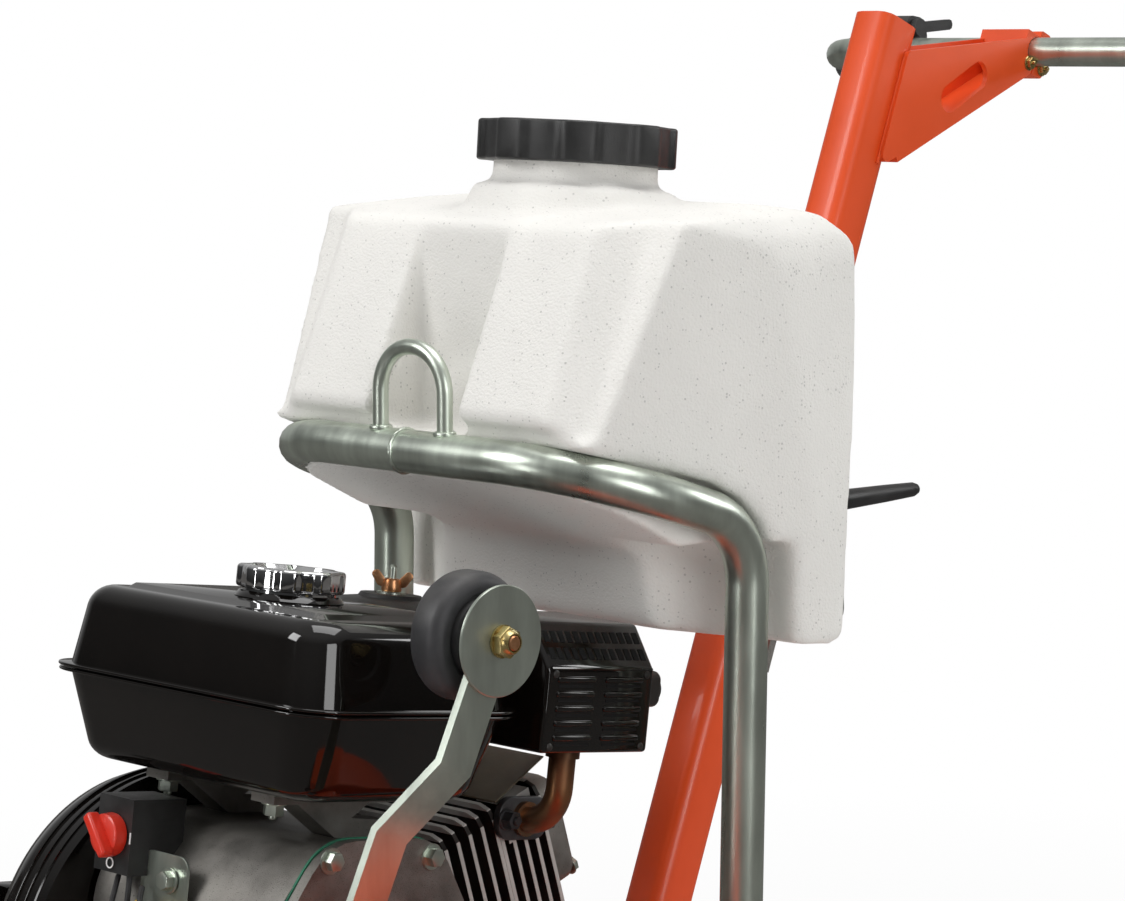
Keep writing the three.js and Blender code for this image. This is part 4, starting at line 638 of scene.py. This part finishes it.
class SAW_OT_water_tank(SawOperator, bpy.types.Operator):
    """Model the moulded water tank and its lobed cap"""

    bl_idname = "saw.water_tank"
    bl_label = "Water Tank"

    def execute(self, context):
        node = frame["nodes"]["water_tank"]
        bm = bmesh.new()
        bm.from_mesh(node.data)
        bmesh.ops.transform(bm, matrix=node.matrix_world, verts=bm.verts)
        bmesh.ops.remove_doubles(bm, verts=bm.verts, dist=0.00002)
        rough = bpy.data.meshes.new("tank")
        bm.to_mesh(rough)
        bm.free()
        holder = bpy.data.objects.new("tank", rough)
        context.scene.collection.objects.link(holder)
        remesh = holder.modifiers.new("Remesh", "REMESH")
        remesh.mode = "VOXEL"
        remesh.voxel_size = details().tank_voxel
        soften = holder.modifiers.new("Smooth", "SMOOTH")
        soften.factor = 0.5
        soften.iterations = details().tank_rounds
        graph = context.evaluated_depsgraph_get()
        mesh = bpy.data.meshes.new_from_object(holder.evaluated_get(graph))
        bpy.data.objects.remove(holder)
        dressed("water_tank_shell", mesh, "white_plastic", ["water_tank"], smooth=60)
        self.cap()
        return {"FINISHED"}

    def cap(self):
        low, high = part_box("tank_cap")
        lean = math.radians(4.6)
        across = (high[0] - low[0]) / MM / 2
        bm = slab(lobed(across - 2.2, 2.2, 3, 192), 0, 31, 2.2, 4)
        top = max(bm.faces, key=lambda f: f.calc_center_median().z)
        bmesh.ops.inset_region(bm, faces=[top], thickness=7, depth=0)
        bmesh.ops.inset_region(bm, faces=[top], thickness=1.2, depth=-2.4)
        for k in range(4):
            rib = block((-across * 0.78, across * 0.78), (-1.4, 1.4), (27, 30.4), 0.6, 1)
            merge(bm, rib, turn(math.pi * k / 4, "Z"))
        seat = 19.3
        place = LEVEL @ at(0, -43 + seat * math.sin(lean), 855 + seat * math.cos(lean)) @ turn(-lean)
        piece("tank_cap_lobed", bm, "black_plastic", ["tank_cap"], place, body="water_cap")


class SAW_OT_roll_hoop(SawOperator, bpy.types.Operator):
    """Bend the tube hoop and the lifting eye, with their welds"""

    bl_idname = "saw.roll_hoop"
    bl_label = "Roll Hoop"

    def execute(self, context):
        half, (bar_y, bar_z) = HOOP_HALF, HOOP_TOP
        leg = [(half, FOOT_Y, FOOT_Z, 0), (half, BEND_Y, BEND_Z, 60), (half, bar_y, bar_z, 105)]
        corners = leg + [(-x, y, z, radius) for x, y, z, radius in reversed(leg)]
        bm = tube(bent(corners, 16), HOOP_RADIUS, LEVEL)
        for side in (-1, 1):
            foot = block((side * half - 20, side * half + 18), (-96, -34), (135.3, 143), 1.2, 2)
            merge(bm, foot, DECK)
        piece("roll_hoop_tube", bm, "zinc", ["roll_hoop"], smooth=40)
        eye = [(-34, bar_y, bar_z + 13, 0), (-34, bar_y, bar_z + 77, 33), (34, bar_y, bar_z + 77, 33),
               (34, bar_y, bar_z + 13, 0)]
        piece("lifting_eye_rod", tube(bent(eye, 18), 6, LEVEL, 24), "zinc", ["lifting_eye"])
        welds = bead([p.zyx for p in ring(HOOP_RADIUS + 0.1)], 1.5, LEVEL @ at(-8, bar_y, bar_z), 0.4)
        for side in (-1, 1):
            merge(welds, bead(ring(6.8), 2.0, LEVEL @ at(side * 34, bar_y, bar_z + 15.6), 1.7 * side))
            merge(welds, bead(ring(HOOP_RADIUS + 0.5), 2.4, LEVEL @ at(side * half, FOOT_Y, FOOT_Z + 4),
                              0.9 * side))
        piece("hoop_welds", welds, "zinc")
        tab = block((146, 162), (-116, -90), (-1.5, 1.5), 0.6, 1)
        piece("hoop_tab", tab, "zinc", place=LEVEL @ at(0, 0, 612))
        return {"FINISHED"}


class SAW_OT_fuel_tank(SawOperator, bpy.types.Operator):
    """Model the two pressed halves of the fuel tank, its seam and its chromed cap"""

    bl_idname = "saw.fuel_tank"
    bl_label = "Fuel Tank"

    def plan(self, inset, radius, steps=10):
        half, front, rear = 148 - inset, -516 + inset, -300 - inset
        return rounded([(-half, front, radius), (half, front, radius), (half, rear, radius),
                        (-half, rear, radius)], steps)

    def execute(self, context):
        upper = slab(self.plan(8, 34), 458.3, 518)
        top = [v for v in upper.verts if v.co.z > 500]
        bmesh.ops.scale(upper, vec=(0.93, 0.93, 1), space=at(0, 408, 0), verts=top)
        rim = [e for e in upper.edges if all(v.co.z > 500 for v in e.verts)]
        bevel(upper, rim, 15, 8)
        crown = max(upper.faces, key=lambda f: f.calc_center_median().z)
        bmesh.ops.inset_region(upper, faces=[crown], thickness=10, depth=0)
        bmesh.ops.inset_region(upper, faces=[crown], thickness=5, depth=3.2)
        merge(upper, slab(self.plan(0, 40), 458.7, 460.8, 0.7, 2))
        merge(upper, turned([(30, 520), (38, 520), (39, 522), (36, 526), (30, 528), (28, 526)]),
              at(0, -412, 0))
        piece("fuel_tank_top", upper, "black_paint", ["fuel_tank_upper"], DECK, 50)

        lower = slab(self.plan(8, 34), 394.5, 457.8)
        base = [v for v in lower.verts if v.co.z < 400]
        bmesh.ops.scale(lower, vec=(0.88, 0.84, 1), space=at(0, 408, 0), verts=base)
        rim = [e for e in lower.edges if all(v.co.z < 400 for v in e.verts)]
        bevel(lower, rim, 12, 7)
        merge(lower, slab(self.plan(0.6, 40), 455.2, 457.2, 0.7, 2))
        piece("fuel_tank_pan", lower, "black_paint", ["fuel_tank_lower"], DECK, 50)

        cap = slab(lobed(37, 1.7, 2.4, 160), 6, 22, 2.6, 5)
        face = max(cap.faces, key=lambda f: f.calc_center_median().z)
        bmesh.ops.inset_region(cap, faces=[face], thickness=6, depth=0)
        bmesh.ops.inset_region(cap, faces=[face], thickness=4, depth=-3)
        merge(cap, turned([(31, 1.4), (35, 1.4), (35, 6), (31, 6), (31, 1.4)]))
        piece("fuel_cap_chromed", cap, "chrome", ["fuel_cap"], DECK @ at(0, -412, 522), body="petrol_cap")
        return {"FINISHED"}


class SAW_OT_engine(SawOperator, bpy.types.Operator):
    """Add the engine's covers, gasket, shroud, bolts, studs and wires"""

    bl_idname = "saw.engine"
    bl_label = "Engine"

    def execute(self, context):
        self.covers()
        self.fixings()
        self.intake()
        self.switch()
        self.wires()
        return {"FINISHED"}

    def covers(self):
        rim, depth = FAN_RADIUS, FAN_DEPTH
        bm = turned([(0, 0), (44, 0), (44, 3), (rim - 4, 3), (rim, 7), (rim, depth - 26),
                     (rim - 5, depth - 12), (rim - 16, depth - 3), (rim - 30, depth), (76, depth),
                     (74, depth - 3), (0, depth - 3)], 128)
        bmesh.ops.transform(bm, matrix=AGAINST_X, verts=bm.verts)
        cut = bmesh.ops.bisect_plane(bm, geom=bm.verts[:] + bm.edges[:] + bm.faces[:],
                                     plane_co=(0, 0, -FAN_FLAT), plane_no=(0, 0, -1), clear_outer=True)
        bmesh.ops.edgeloop_fill(bm, edges=[e for e in cut["geom_cut"] if isinstance(e, bmesh.types.BMEdge)])
        for k in range(3):
            radius = rim - 0.4
            hoop = turned([(radius, 0), (radius + 1.6, 0.6), (radius + 1.6, 2.4), (radius, 3),
                           (radius, 0)], 128)
            bmesh.ops.transform(hoop, matrix=AGAINST_X, verts=hoop.verts)
            half = bmesh.ops.bisect_plane(hoop, geom=hoop.verts[:] + hoop.edges[:] + hoop.faces[:],
                                          plane_co=(0, 0, -90), plane_no=(0, 0, -1), clear_outer=True)
            bmesh.ops.holes_fill(hoop, edges=[e for e in half["geom_cut"] if isinstance(e,
                                                                                        bmesh.types.BMEdge)])
            merge(bm, hoop, at(-8 - 10 * k, 0, 0))
        piece("fan_cover_drum", bm, "black_paint", ["fan_cover"], ENGINE @ at(-95.3, 0, 0))

        dome = [(0, 34), (30, 34)]
        for k in range(4):
            radius = 36 + 12 * k
            height = 34 - 4 * k
            dome += [(radius, height), (radius + 2, height - 2.2), (radius + 8, height - 2.8),
                     (radius + 10, height - 3.4)]
        dome += [(92, 17), (97, 12), (98, 8), (98, 0), (0, 0)]
        bm = turned(dome, 96)
        bmesh.ops.transform(bm, matrix=AGAINST_X, verts=bm.verts)
        merge(bm, block((-26, -4), (-114, -84), (20, 48), 3, 2))
        piece("recoil_cover_dome", bm, "black_paint", ["recoil_cover"], ENGINE @ at(-155.6, 0, 0))

        edge = rounded([(-101, -97, 12), (-81, 71, 60), (-48, 122, 46), (56, 122, 42), (95, 66, 42),
                        (97, -97, 12)], 8)
        gasket = slab(edge, 94.4, 96.2)
        piece("cover_gasket", gasket, "gasket", place=ENGINE @ SIDEWAYS)
        shroud = slab([(70, 190), (-70, 190), (-52, 262), (52, 262)], 0, 1.6, 0.5, 1)
        piece("head_shroud", shroud, "olive_plate", place=CYLINDER @ at(0, 0, 64))
        legs = bmesh.new()
        for side in (-1, 1):
            merge(legs, block((side * 44 - 5, side * 44 + 5), (206, 222), (57, 65), 0.8, 1))
        piece("head_shroud_feet", legs, "satin_black", place=CYLINDER)

    def fixings(self):
        face = at(105, 0, 0) @ ALONG_X
        ringed = [(-92, -80), (-84, 60), (-46, 108), (50, 108), (86, 62), (86, -80)]
        places = [ENGINE @ at(0, y, z) @ face for y, z in ringed]
        fasteners("side_cover_bolts", places, "zinc", across=12, height=7.5, washer=9.5)
        studs = [DECK @ at(x, -451, 384.5) @ turn(math.pi) for x in (48, -66)]
        fasteners("tank_arm_nuts", studs, "zinc", across=13, height=9, washer=9, hole=3)
        lugs = [CYLINDER @ at(x, 262, z) @ ALONG_Y for x in (-42, 42) for z in (-34, 34)]
        lugs = [place @ at(0, 0, 9.2) for place in lugs]
        fasteners("head_cover_bolts", lugs, "zinc", across=10, height=5.5)
        flange = [DECK @ at(73, y, 372) @ ALONG_X for y in (-245, -207)]
        fasteners("exhaust_flange_nuts", flange, "dark_steel", across=12, height=10, hole=3.4)
        plate = slab(rounded([(-26, -18, 5), (24, -18, 5), (24, 20, 10), (-26, 20, 10)], 6), 0, 2.2, 0.5, 1)
        piece("switch_bracket", plate, "zinc", place=DECK @ at(-14, -488, 320) @ ALONG_Y @ turn(math.pi))
        front = DECK @ at(-8, -491, 322) @ AGAINST_Y
        fasteners("bracket_bolt", [front], "zinc", across=12, height=7.5, washer=9)

    def intake(self):
        cover = turned([(0, 0), (54, 0), (58, 4), (58, 78), (61, 80), (61, 88), (57, 95), (40, 101),
                        (26, 103), (24, 106), (12, 106), (0, 106)], 96)
        piece("air_cleaner_cover", cover, "black_plastic", ["air_cleaner"],
              DECK @ at(*CLEANER, 416.3) @ Matrix.Scale(0.98, 4))
        stud = turned([(0, 0), (3, 0), (3, 21), (2, 22.4), (0, 22.4)], 24)
        merge(stud, turned([(0, 0), (11, 0), (11, 1.5), (0, 1.5)], 32))
        piece("cleaner_stud", stud, "zinc", place=DECK @ at(*CLEANER, 520))
        wing = turned([(0, 0), (7.5, 0), (8, 2), (6.4, 9), (5, 10), (0, 10)], 32)
        for side in (-1, 1):
            lobe = slab(rounded([(4, 2, 0), (11, 4, 2), (17, 13, 3), (12, 17, 3), (5, 9, 1.5)], 5), -1.6,
                        1.6, 0.8, 2)
            merge(wing, lobe, turn(math.pi * (side < 0), "Z") @ AGAINST_Y)
        piece("cleaner_wing_nut", wing, "copper", place=DECK @ at(*CLEANER, 522) @ turn(0.7, "Z"))

    def switch(self):
        knob = turned([(0, 0), (15, 0), (15.5, 2), (14.5, 9), (13, 10), (0, 10)], 64)
        merge(knob, block((-4, 4), (-17, 17), (8, 18.5), 2.2, 3))
        face = DECK @ at(-52, -508.6, 348) @ AGAINST_Y
        piece("switch_knob", knob, "red_plastic", ["engine_switch"], face @ turn(math.radians(40), "Z"),
              body="switch")
        marks = block((19, 20.2), (-4, 4), (0.1, 0.5))
        merge(marks, turned([(3, 0.1), (4, 0.1), (4, 0.5), (3, 0.5), (3, 0.1)], 32), at(0, -20, 0))
        piece("switch_marks", marks, "print", place=face @ at(0, 0, 0.5))

    def wires(self):
        runs = [
            [(-56, -497, 318, 0), (-50, -506, 300, 12), (-38, -505, 262, 20), (-20, -502, 240, 0)],
            [(-46, -494, 350, 0), (-40, -500, 340, 8), (-38, -502, 300, 20), (-30, -500, 250, 0)],
            [(-28, -498, 314, 0), (-18, -508, 306, 8), (-6, -502, 290, 8), (-2, -498, 262, 0)],
        ]
        bm = bmesh.new()
        for run in runs:
            merge(bm, tube(bent(run, 8), 2.1, DECK, 12))
        piece("engine_wires", bm, "rubber")
        sleeves = bmesh.new()
        for x in (-26, -12):
            merge(sleeves, tube([(x, -502, 304), (x + 4, -507, 300), (x + 9, -504, 292)], 2.9, DECK, 12))
        piece("wire_sleeves", sleeves, "yellow_sleeve")


class SAW_OT_exhaust(SawOperator, bpy.types.Operator):
    """Model the muffler's louvred guard, its outlet and the bent pipe"""

    bl_idname = "saw.exhaust"
    bl_label = "Exhaust"

    def guard(self):
        """The folded guard with pressed louvres down its face; dark blocks of painted shade stand in the
        slot openings along its shoulder and in the gaps under the louvres.
        """
        face, front, rear = 140, -286, -174
        shell = slab([(34, 430), (face, 430), (face, 491), (118, 522), (34, 522)], -rear, -front)
        bevel(shell, shell.edges[:], 3.2, 4)
        bmesh.ops.transform(shell, matrix=AGAINST_Y, verts=shell.verts)
        for middle in (-256, -206):
            for row in range(5):
                lip = block((-20, 20), (-2.4, 2.4), (0, 4.6), 1.8, 4)
                bulge = at(face - 1.4, middle, 439 + 10.5 * row) @ turn(QUARTER, "Z")
                merge(shell, lip, bulge @ turn(math.radians(18)))
        piece("muffler_guard_folded", shell, "black_paint", ["muffler_guard"], DECK, 30)
        # Dark blocks in the shoulder's slot openings and under the louvres: painted shade, not cut holes.
        opening_shade = bmesh.new()
        slope = turn(-math.atan2(22, 31), "Y")
        for row in (0.32, 0.68):
            for k in range(13):
                spot = at(face - 22 * row + 0.1, rear - 8 - 7.9 * k, 491 + 31 * row) @ slope
                merge(opening_shade, block((-0.6, 0.5), (-2.6, 2.6), (-4.6, 4.6), 0.3, 1), spot)
        # Thin dark strips under each louvre lip: painted shade in the gaps.
        for middle in (-256, -206):
            for row in range(5):
                merge(opening_shade, block((-0.2, 0.25), (-18, 18), (-1, 1)), at(face, middle, 436.4 + 10.5 * row))
        piece("guard_opening_shade", opening_shade, "painted_shade", place=DECK)
        seam = tube([(face + 0.1, front + 3, 491), (face + 0.1, rear - 3, 491)], 1.1, DECK, 8)
        piece("guard_fold", seam, "black_paint")
        rivets = [DECK @ at(face - 0.6, y, z) @ ALONG_X for y in (front + 8, rear - 8) for z in (434.5,
                                                                                                 487)]
        bm = bmesh.new()
        for place in rivets:
            merge(bm, turned([(0, 0), (3.2, 0), (2.8, 1.2), (1.4, 1.9), (0, 2)], 24), place)
        piece("guard_rivets", bm, "satin_black")

    def execute(self, context):
        self.guard()
        outlet = slab(rounded([(106, 461, 7), (128, 461, 7), (128, 488, 7), (106, 488, 7)], 6), 150.2,
                      173.8)
        ends = [e for e in outlet.edges if all(v.co.z < 151 for v in e.verts)]
        bevel(outlet, ends, 4, 4)
        piece("muffler_outlet", outlet, "satin_black", place=DECK @ AGAINST_Y)
        (port_y, port_z), pipe_x = PORT, PIPE_X
        rise = [(66, port_y, port_z, 0), (pipe_x, port_y, port_z, 28), (pipe_x, port_y, 437, 0)]
        pipe = tube(bent(rise, 12), 10, DECK)
        merge(pipe, tube([(pipe_x, port_y, 422), (pipe_x, port_y, 434)], 12.5, DECK))
        merge(pipe, tube([(72, port_y, port_z), (77, port_y, port_z)], 13, DECK))
        piece("exhaust_pipe_bent", pipe, "heated_steel", ["exhaust_pipe"])
        oval = rounded([(port_y - 26, port_z - 16, 13), (port_y + 26, port_z - 16, 13),
                        (port_y + 26, port_z + 16, 13), (port_y - 26, port_z + 16, 13)], 8)
        piece("exhaust_flange", slab(oval, 66.4, 72.6, 1, 2), "dark_steel", place=DECK @ SIDEWAYS)
        return {"FINISHED"}


class SAW_OT_cutting_guide(SawOperator, bpy.types.Operator):
    """Turn the guide's rubber wheel, its disc and the lock nut"""

    bl_idname = "saw.cutting_guide"
    bl_label = "Cutting Guide"

    def execute(self, context):
        hub = GUIDE @ at(0, 0, GUIDE_HUB)
        rim = [(7, -16), (14, -16), (14.5, -13), (25, -13), (27, -15)]
        rim += [(34 + 10 * math.sin(a), -5 - 10 * math.cos(a)) for a in (0.0, 0.3, 0.6, 0.9, 1.2, 1.45)]
        rim += [(44, 0)]
        rim += [(34 + 10 * math.sin(a), 5 + 10 * math.cos(a)) for a in (1.45, 1.2, 0.9, 0.6, 0.3, 0.0)]
        rim += [(31, 15), (29.6, 12.6), (28, 12.6), (26.5, 16), (20, 19), (7, 19), (7, -16)]
        piece("guide_wheel_rubber", turned(rim, 96), "tyre", ["guide_wheel"],
              hub @ at(197, 0, 0) @ ALONG_X, body="guide_roller")
        disc = turned([(0, 0), (36.9, 0), (37.5, 0.6), (37.5, 1.9), (36.9, 2.5), (0, 2.5)], 128)
        piece("guide_disc_plate", disc, "zinc", ["guide_disc"], hub @ at(226.8, 0, 0) @ ALONG_X,
              body="guide")
        nut = hexagon(19, 8)
        merge(nut, turned([(0, 7.5), (8.6, 7.5), (8.6, 9), (6.8, 11.6), (5.9, 11.6), (5.9, 9), (0, 9)], 48))
        merge(nut, turned([(0, 0), (11.2, 0), (11.2, 1.4), (0, 1.4)], 48))
        merge(nut, turned([(0, -54), (6, -54), (6, -10), (0, -10)], 32))
        merge(nut, hexagon(18, 7), at(0, 0, -56))
        piece("guide_lock_nut", nut, "yellow_zinc", ["guide_axle"], hub @ at(229.6, 0, 0) @ ALONG_X,
              body="guide")
        end = turned([(0, 8), (5.2, 8), (5.2, 11.4), (4.4, 12.4), (0, 12.4)], 32)
        piece("guide_bolt_end", end, "copper", place=hub @ at(229.6, 0, 0) @ ALONG_X, body="guide")
        return {"FINISHED"}


class SAW_OT_handles(SawOperator, bpy.types.Operator):
    """Bend the handlebar and turn its grips, the crank's grip and the clamp's bolts"""

    bl_idname = "saw.handles"
    bl_label = "Handles"

    def execute(self, context):
        path = bent([(-BAR_HALF, 132, 0, 0), (-BAR_HALF, 0, 0, 45), (BAR_HALF, 0, 0, 45),
                     (BAR_HALF, 132, 0, 0)], 14)
        piece("handlebar_tube", tube(path, 12.5, BAR), "zinc", ["handlebar"], body="handles")
        profile = [(12.8, 46), (20, 46), (20, 50), (17, 52)]
        for k in range(14):
            start = 54 + 5.6 * k
            profile += [(17, start), (16.2, start + 0.8), (16.2, start + 2), (17, start + 2.8)]
        profile += [(17, 135), (15, 139), (9, 140), (0, 140)]
        for side, name in ((1, "left"), (-1, "right")):
            grip = turned(profile, 64)
            piece(f"grip_{name}_ribbed", grip, "rubber", [f"grip_{name}"],
                  BAR @ at(side * BAR_HALF, 0, 0) @ ALONG_Y, body="handles")
        knob = turned([(4.6, 130.6), (9, 130.6), (9.4, 133), (8.6, 146), (7.4, 200), (6.2, 236), (4.6, 241),
                       (2, 242.4), (0, 242.6)], 48)
        piece("crank_grip_taper", knob, "black_plastic", ["crank_grip"], CRANK @ at(0, 0, 88) @ ALONG_Y,
              body="crank_handle")
        clamp = COLUMN @ at(25, 0, 954)
        bolts = [clamp @ at(0, 168, -13) @ ALONG_X, clamp @ at(0, 187, -11) @ ALONG_X]
        fasteners("clamp_bolts", bolts, "yellow_zinc", across=9, height=5, washer=6.5, hole=2)
        joint = bead([(20.8, 10, 790), (20.8, 10, 884)], 1.6, COLUMN, 0.3)
        merge(joint, bead([(-20.8, 10, 790), (-20.8, 10, 884)], 1.6, COLUMN, 0.8))
        piece("bracket_welds", joint, "orange_paint")
        plates = [COLUMN @ turn(COLUMN_LEAN) @ at(x, y, 8) for x in (-48, 48) for y in (-40, 40)]
        fasteners("column_foot_bolts", plates, "zinc", across=13, height=8, washer=11)
        return {"FINISHED"}


class SAW_OT_wheels(SawOperator, bpy.types.Operator):
    """Turn the tyres and hubs of the four road wheels"""

    bl_idname = "saw.wheels"
    bl_label = "Road Wheels"

    def wheel(self, name):
        low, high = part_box(name)
        centre = middle(low, high)
        radius = (high[2] - low[2]) / 2 / MM
        half = (high[0] - low[0]) / 2 / MM - 2
        bore = 13 if radius > 90 else 11
        inner = radius * 0.66
        tyre = [(inner, -half), (radius - 9, -half), (radius - 4, -half + 2), (radius - 1, -half + 6),
                (radius, -half + 10), (radius, half - 10), (radius - 1, half - 6), (radius - 4, half - 2),
                (radius - 9, half), (inner, half), (inner - 3, half - 3), (inner - 3, -half + 3),
                (inner, -half)]
        place = Matrix.Translation(centre) @ Matrix.Scale(MM, 4) @ ALONG_X
        piece(f"{name}_tyre", turned(tyre, 96), "tyre", [name], place, body=name)
        edge = inner - 3.2
        hub = [(bore, -half - 2), (bore + 9, -half - 2), (bore + 10, -half + 7), (edge - 4, -half + 8),
               (edge - 2, -half + 3), (edge, -half + 3), (edge, half - 3), (edge - 2, half - 3),
               (edge - 4, half - 8), (bore + 10, half - 7), (bore + 9, half + 2), (bore, half + 2),
               (bore, -half - 2)]
        piece(f"{name}_hub", turned(hub, 72), "dark_steel", place=place, body=name)

    def execute(self, context):
        for end in ("rear", "front"):
            for side in ("left", "right"):
                self.wheel(f"{end}_wheel_{side}")
        return {"FINISHED"}


class SAW_OT_stage(SawOperator, bpy.types.Operator):
    """Set the camera, the pale floor and the soft studio light"""

    bl_idname = "saw.stage"
    bl_label = "Stage"

    def execute(self, context):
        scene = context.scene
        data = bpy.data.cameras.new("camera")
        data.sensor_width = 36
        data.lens = details().lens
        data.clip_end = 60
        camera = bpy.data.objects.new("camera", data)
        heading, pitch = math.radians(44), math.radians(6.7)
        ahead = Vector((-math.sin(heading) * math.cos(pitch), math.cos(heading) * math.cos(pitch),
                        -math.sin(pitch)))
        camera.location = AXLE + Vector((1.795, -1.915, 0.960))
        camera.rotation_mode = "QUATERNION"
        camera.rotation_quaternion = ahead.to_track_quat("-Z", "Y")
        scene.collection.objects.link(camera)
        scene.camera = camera

        bm = bmesh.new()
        bmesh.ops.create_grid(bm, x_segments=1, y_segments=1, size=14)
        mesh = bpy.data.meshes.new("floor")
        bm.to_mesh(mesh)
        bm.free()
        floor = bpy.data.objects.new("floor", mesh)
        scene.collection.objects.link(floor)
        pale = bpy.data.materials.new("floor")
        pale.use_nodes = True
        tree = pale.node_tree
        shader = tree.nodes["Principled BSDF"]
        shader.inputs["Base Color"].default_value = (0.75, 0.75, 0.74, 1)
        shader.inputs["Roughness"].default_value = 0.9
        glow = add(tree, "ShaderNodeEmission", Color=(1, 1, 1, 1), Strength=1.0)
        direct = add(tree, "ShaderNodeLightPath")
        away = add(tree, "ShaderNodeVectorMath", operation="LENGTH",
                   _0=own_coordinates(tree))
        far = spread(tree, away.outputs["Value"], 0.9, 2.2, 0.86, 1.0)
        share = maths(tree, "MULTIPLY", direct.outputs["Is Camera Ray"], far)
        dim = add(tree, "ShaderNodeEmission", Color=(0.09, 0.085, 0.08, 1), Strength=1.0)
        seen = add(tree, "ShaderNodeMixShader", _0=share, _1=shader, _2=glow)
        mirrored = maths(tree, "MULTIPLY", direct.outputs["Is Glossy Ray"], 0.93)
        blend = add(tree, "ShaderNodeMixShader", _0=mirrored, _1=seen, _2=dim)
        tree.links.new(blend.outputs[0], tree.nodes["Material Output"].inputs["Surface"])
        mesh.materials.append(pale)

        world = bpy.data.worlds.new("studio")
        world.use_nodes = True
        tree = world.node_tree
        plain = tree.nodes["Background"]
        heading_of = add(tree, "ShaderNodeSeparateXYZ",
                         Vector=add(tree, "ShaderNodeTexCoord").outputs["Generated"])
        ramp = add(tree, "ShaderNodeValToRGB", Fac=heading_of.outputs["Z"])
        ramp.color_ramp.elements[0].position = 0.0
        ramp.color_ramp.elements[0].color = (0.05, 0.05, 0.05, 1)
        ramp.color_ramp.elements[1].position = 0.85
        ramp.color_ramp.elements[1].color = (1, 1, 1, 1)
        shoulder = ramp.color_ramp.elements.new(0.35)
        shoulder.color = (0.22, 0.225, 0.23, 1)
        backdrop = add(tree, "ShaderNodeVectorMath", operation="DOT_PRODUCT",
                       _0=add(tree, "ShaderNodeTexCoord").outputs["Generated"], _1=ahead)
        behind = spread(tree, backdrop.outputs["Value"], 0.45, 0.9, 0.0, 1.0)
        lit = add(tree, "ShaderNodeMix", data_type="RGBA", _0=behind, _6=ramp, _7=(1, 1, 1, 1))
        tree.links.new(lit.outputs[2], plain.inputs[0])
        mirrored = add(tree, "ShaderNodeLightPath")
        strength = add(tree, "ShaderNodeMapRange", Value=mirrored.outputs["Is Glossy Ray"], _3=0.56,
                       _4=0.42)
        tree.links.new(strength.outputs[0], plain.inputs[1])
        seen = add(tree, "ShaderNodeBackground", Color=(1, 1, 1, 1), Strength=1.0)
        path = add(tree, "ShaderNodeLightPath")
        both = add(tree, "ShaderNodeMixShader", _0=path.outputs["Is Camera Ray"], _1=plain,
                   _2=seen)
        tree.links.new(both.outputs[0], tree.nodes["World Output"].inputs[0])
        scene.world = world
        scene.view_settings.view_transform = "Standard"

        aim = Vector((0, -0.1, 0.6))
        lamps = [("key", (-1.2, -2.8, 2.6), 1.4, 1.4, 50), ("fill", (3.0, -0.9, 1.5), 1.2, 1.2, 20),
                 ("top", (0.3, 0.2, 3.2), 1.8, 1.8, 36), ("rim", (1.6, 2.6, 1.9), 1.0, 1.0, 20),
                 ("front_strip", (-0.25, -2.9, 0.75), 0.22, 1.0, 7),
                 ("side_strip", (2.9, -0.5, 0.75), 0.2, 1.0, 4)]
        for name, place, width, height, power in lamps:
            lamp = bpy.data.lights.new(name, "AREA")
            lamp.energy = power
            lamp.shape = "RECTANGLE"
            lamp.size = width
            lamp.size_y = height
            holder = bpy.data.objects.new(name, lamp)
            holder.location = place
            holder.rotation_mode = "QUATERNION"
            holder.rotation_quaternion = (aim - Vector(place)).to_track_quat("-Z", "Y")
            scene.collection.objects.link(holder)
        return {"FINISHED"}


OPERATORS = (SAW_OT_stage, SAW_OT_carried_nodes, SAW_OT_water_tank, SAW_OT_roll_hoop, SAW_OT_fuel_tank,
             SAW_OT_engine, SAW_OT_exhaust, SAW_OT_cutting_guide, SAW_OT_handles, SAW_OT_wheels)


class SAW_PT_panel(bpy.types.Panel):
    """Lists the saw's sizes, colours and pieces"""

    bl_idname = "SAW_PT_panel"
    bl_label = "Concrete Saw"
    bl_space_type = "VIEW_3D"
    bl_region_type = "UI"
    bl_category = "Saw"

    def draw(self, context):
        for settings in (context.scene.saw_colours, context.scene.saw_details):
            box = self.layout.box()
            for key in settings.__annotations__:
                box.prop(settings, key)
        for operator in OPERATORS:
            self.layout.operator(operator.bl_idname)


CLASSES = (SawColours, SawDetails, *OPERATORS, SAW_PT_panel)


def register():
    for cls in CLASSES:
        bpy.utils.register_class(cls)
    bpy.types.Scene.saw_colours = PointerProperty(type=SawColours)
    bpy.types.Scene.saw_details = PointerProperty(type=SawDetails)


def unregister():
    del bpy.types.Scene.saw_details
    del bpy.types.Scene.saw_colours
    for cls in reversed(CLASSES):
        bpy.utils.unregister_class(cls)


def main():
    register()
    bpy.ops.saw.stage()
    bpy.ops.saw.carried_nodes()
    bpy.ops.saw.water_tank()
    bpy.ops.saw.roll_hoop()
    bpy.ops.saw.fuel_tank()
    bpy.ops.saw.engine()
    bpy.ops.saw.exhaust()
    bpy.ops.saw.cutting_guide()
    bpy.ops.saw.handles()
    bpy.ops.saw.wheels()


if __name__ == "__main__":
    main()
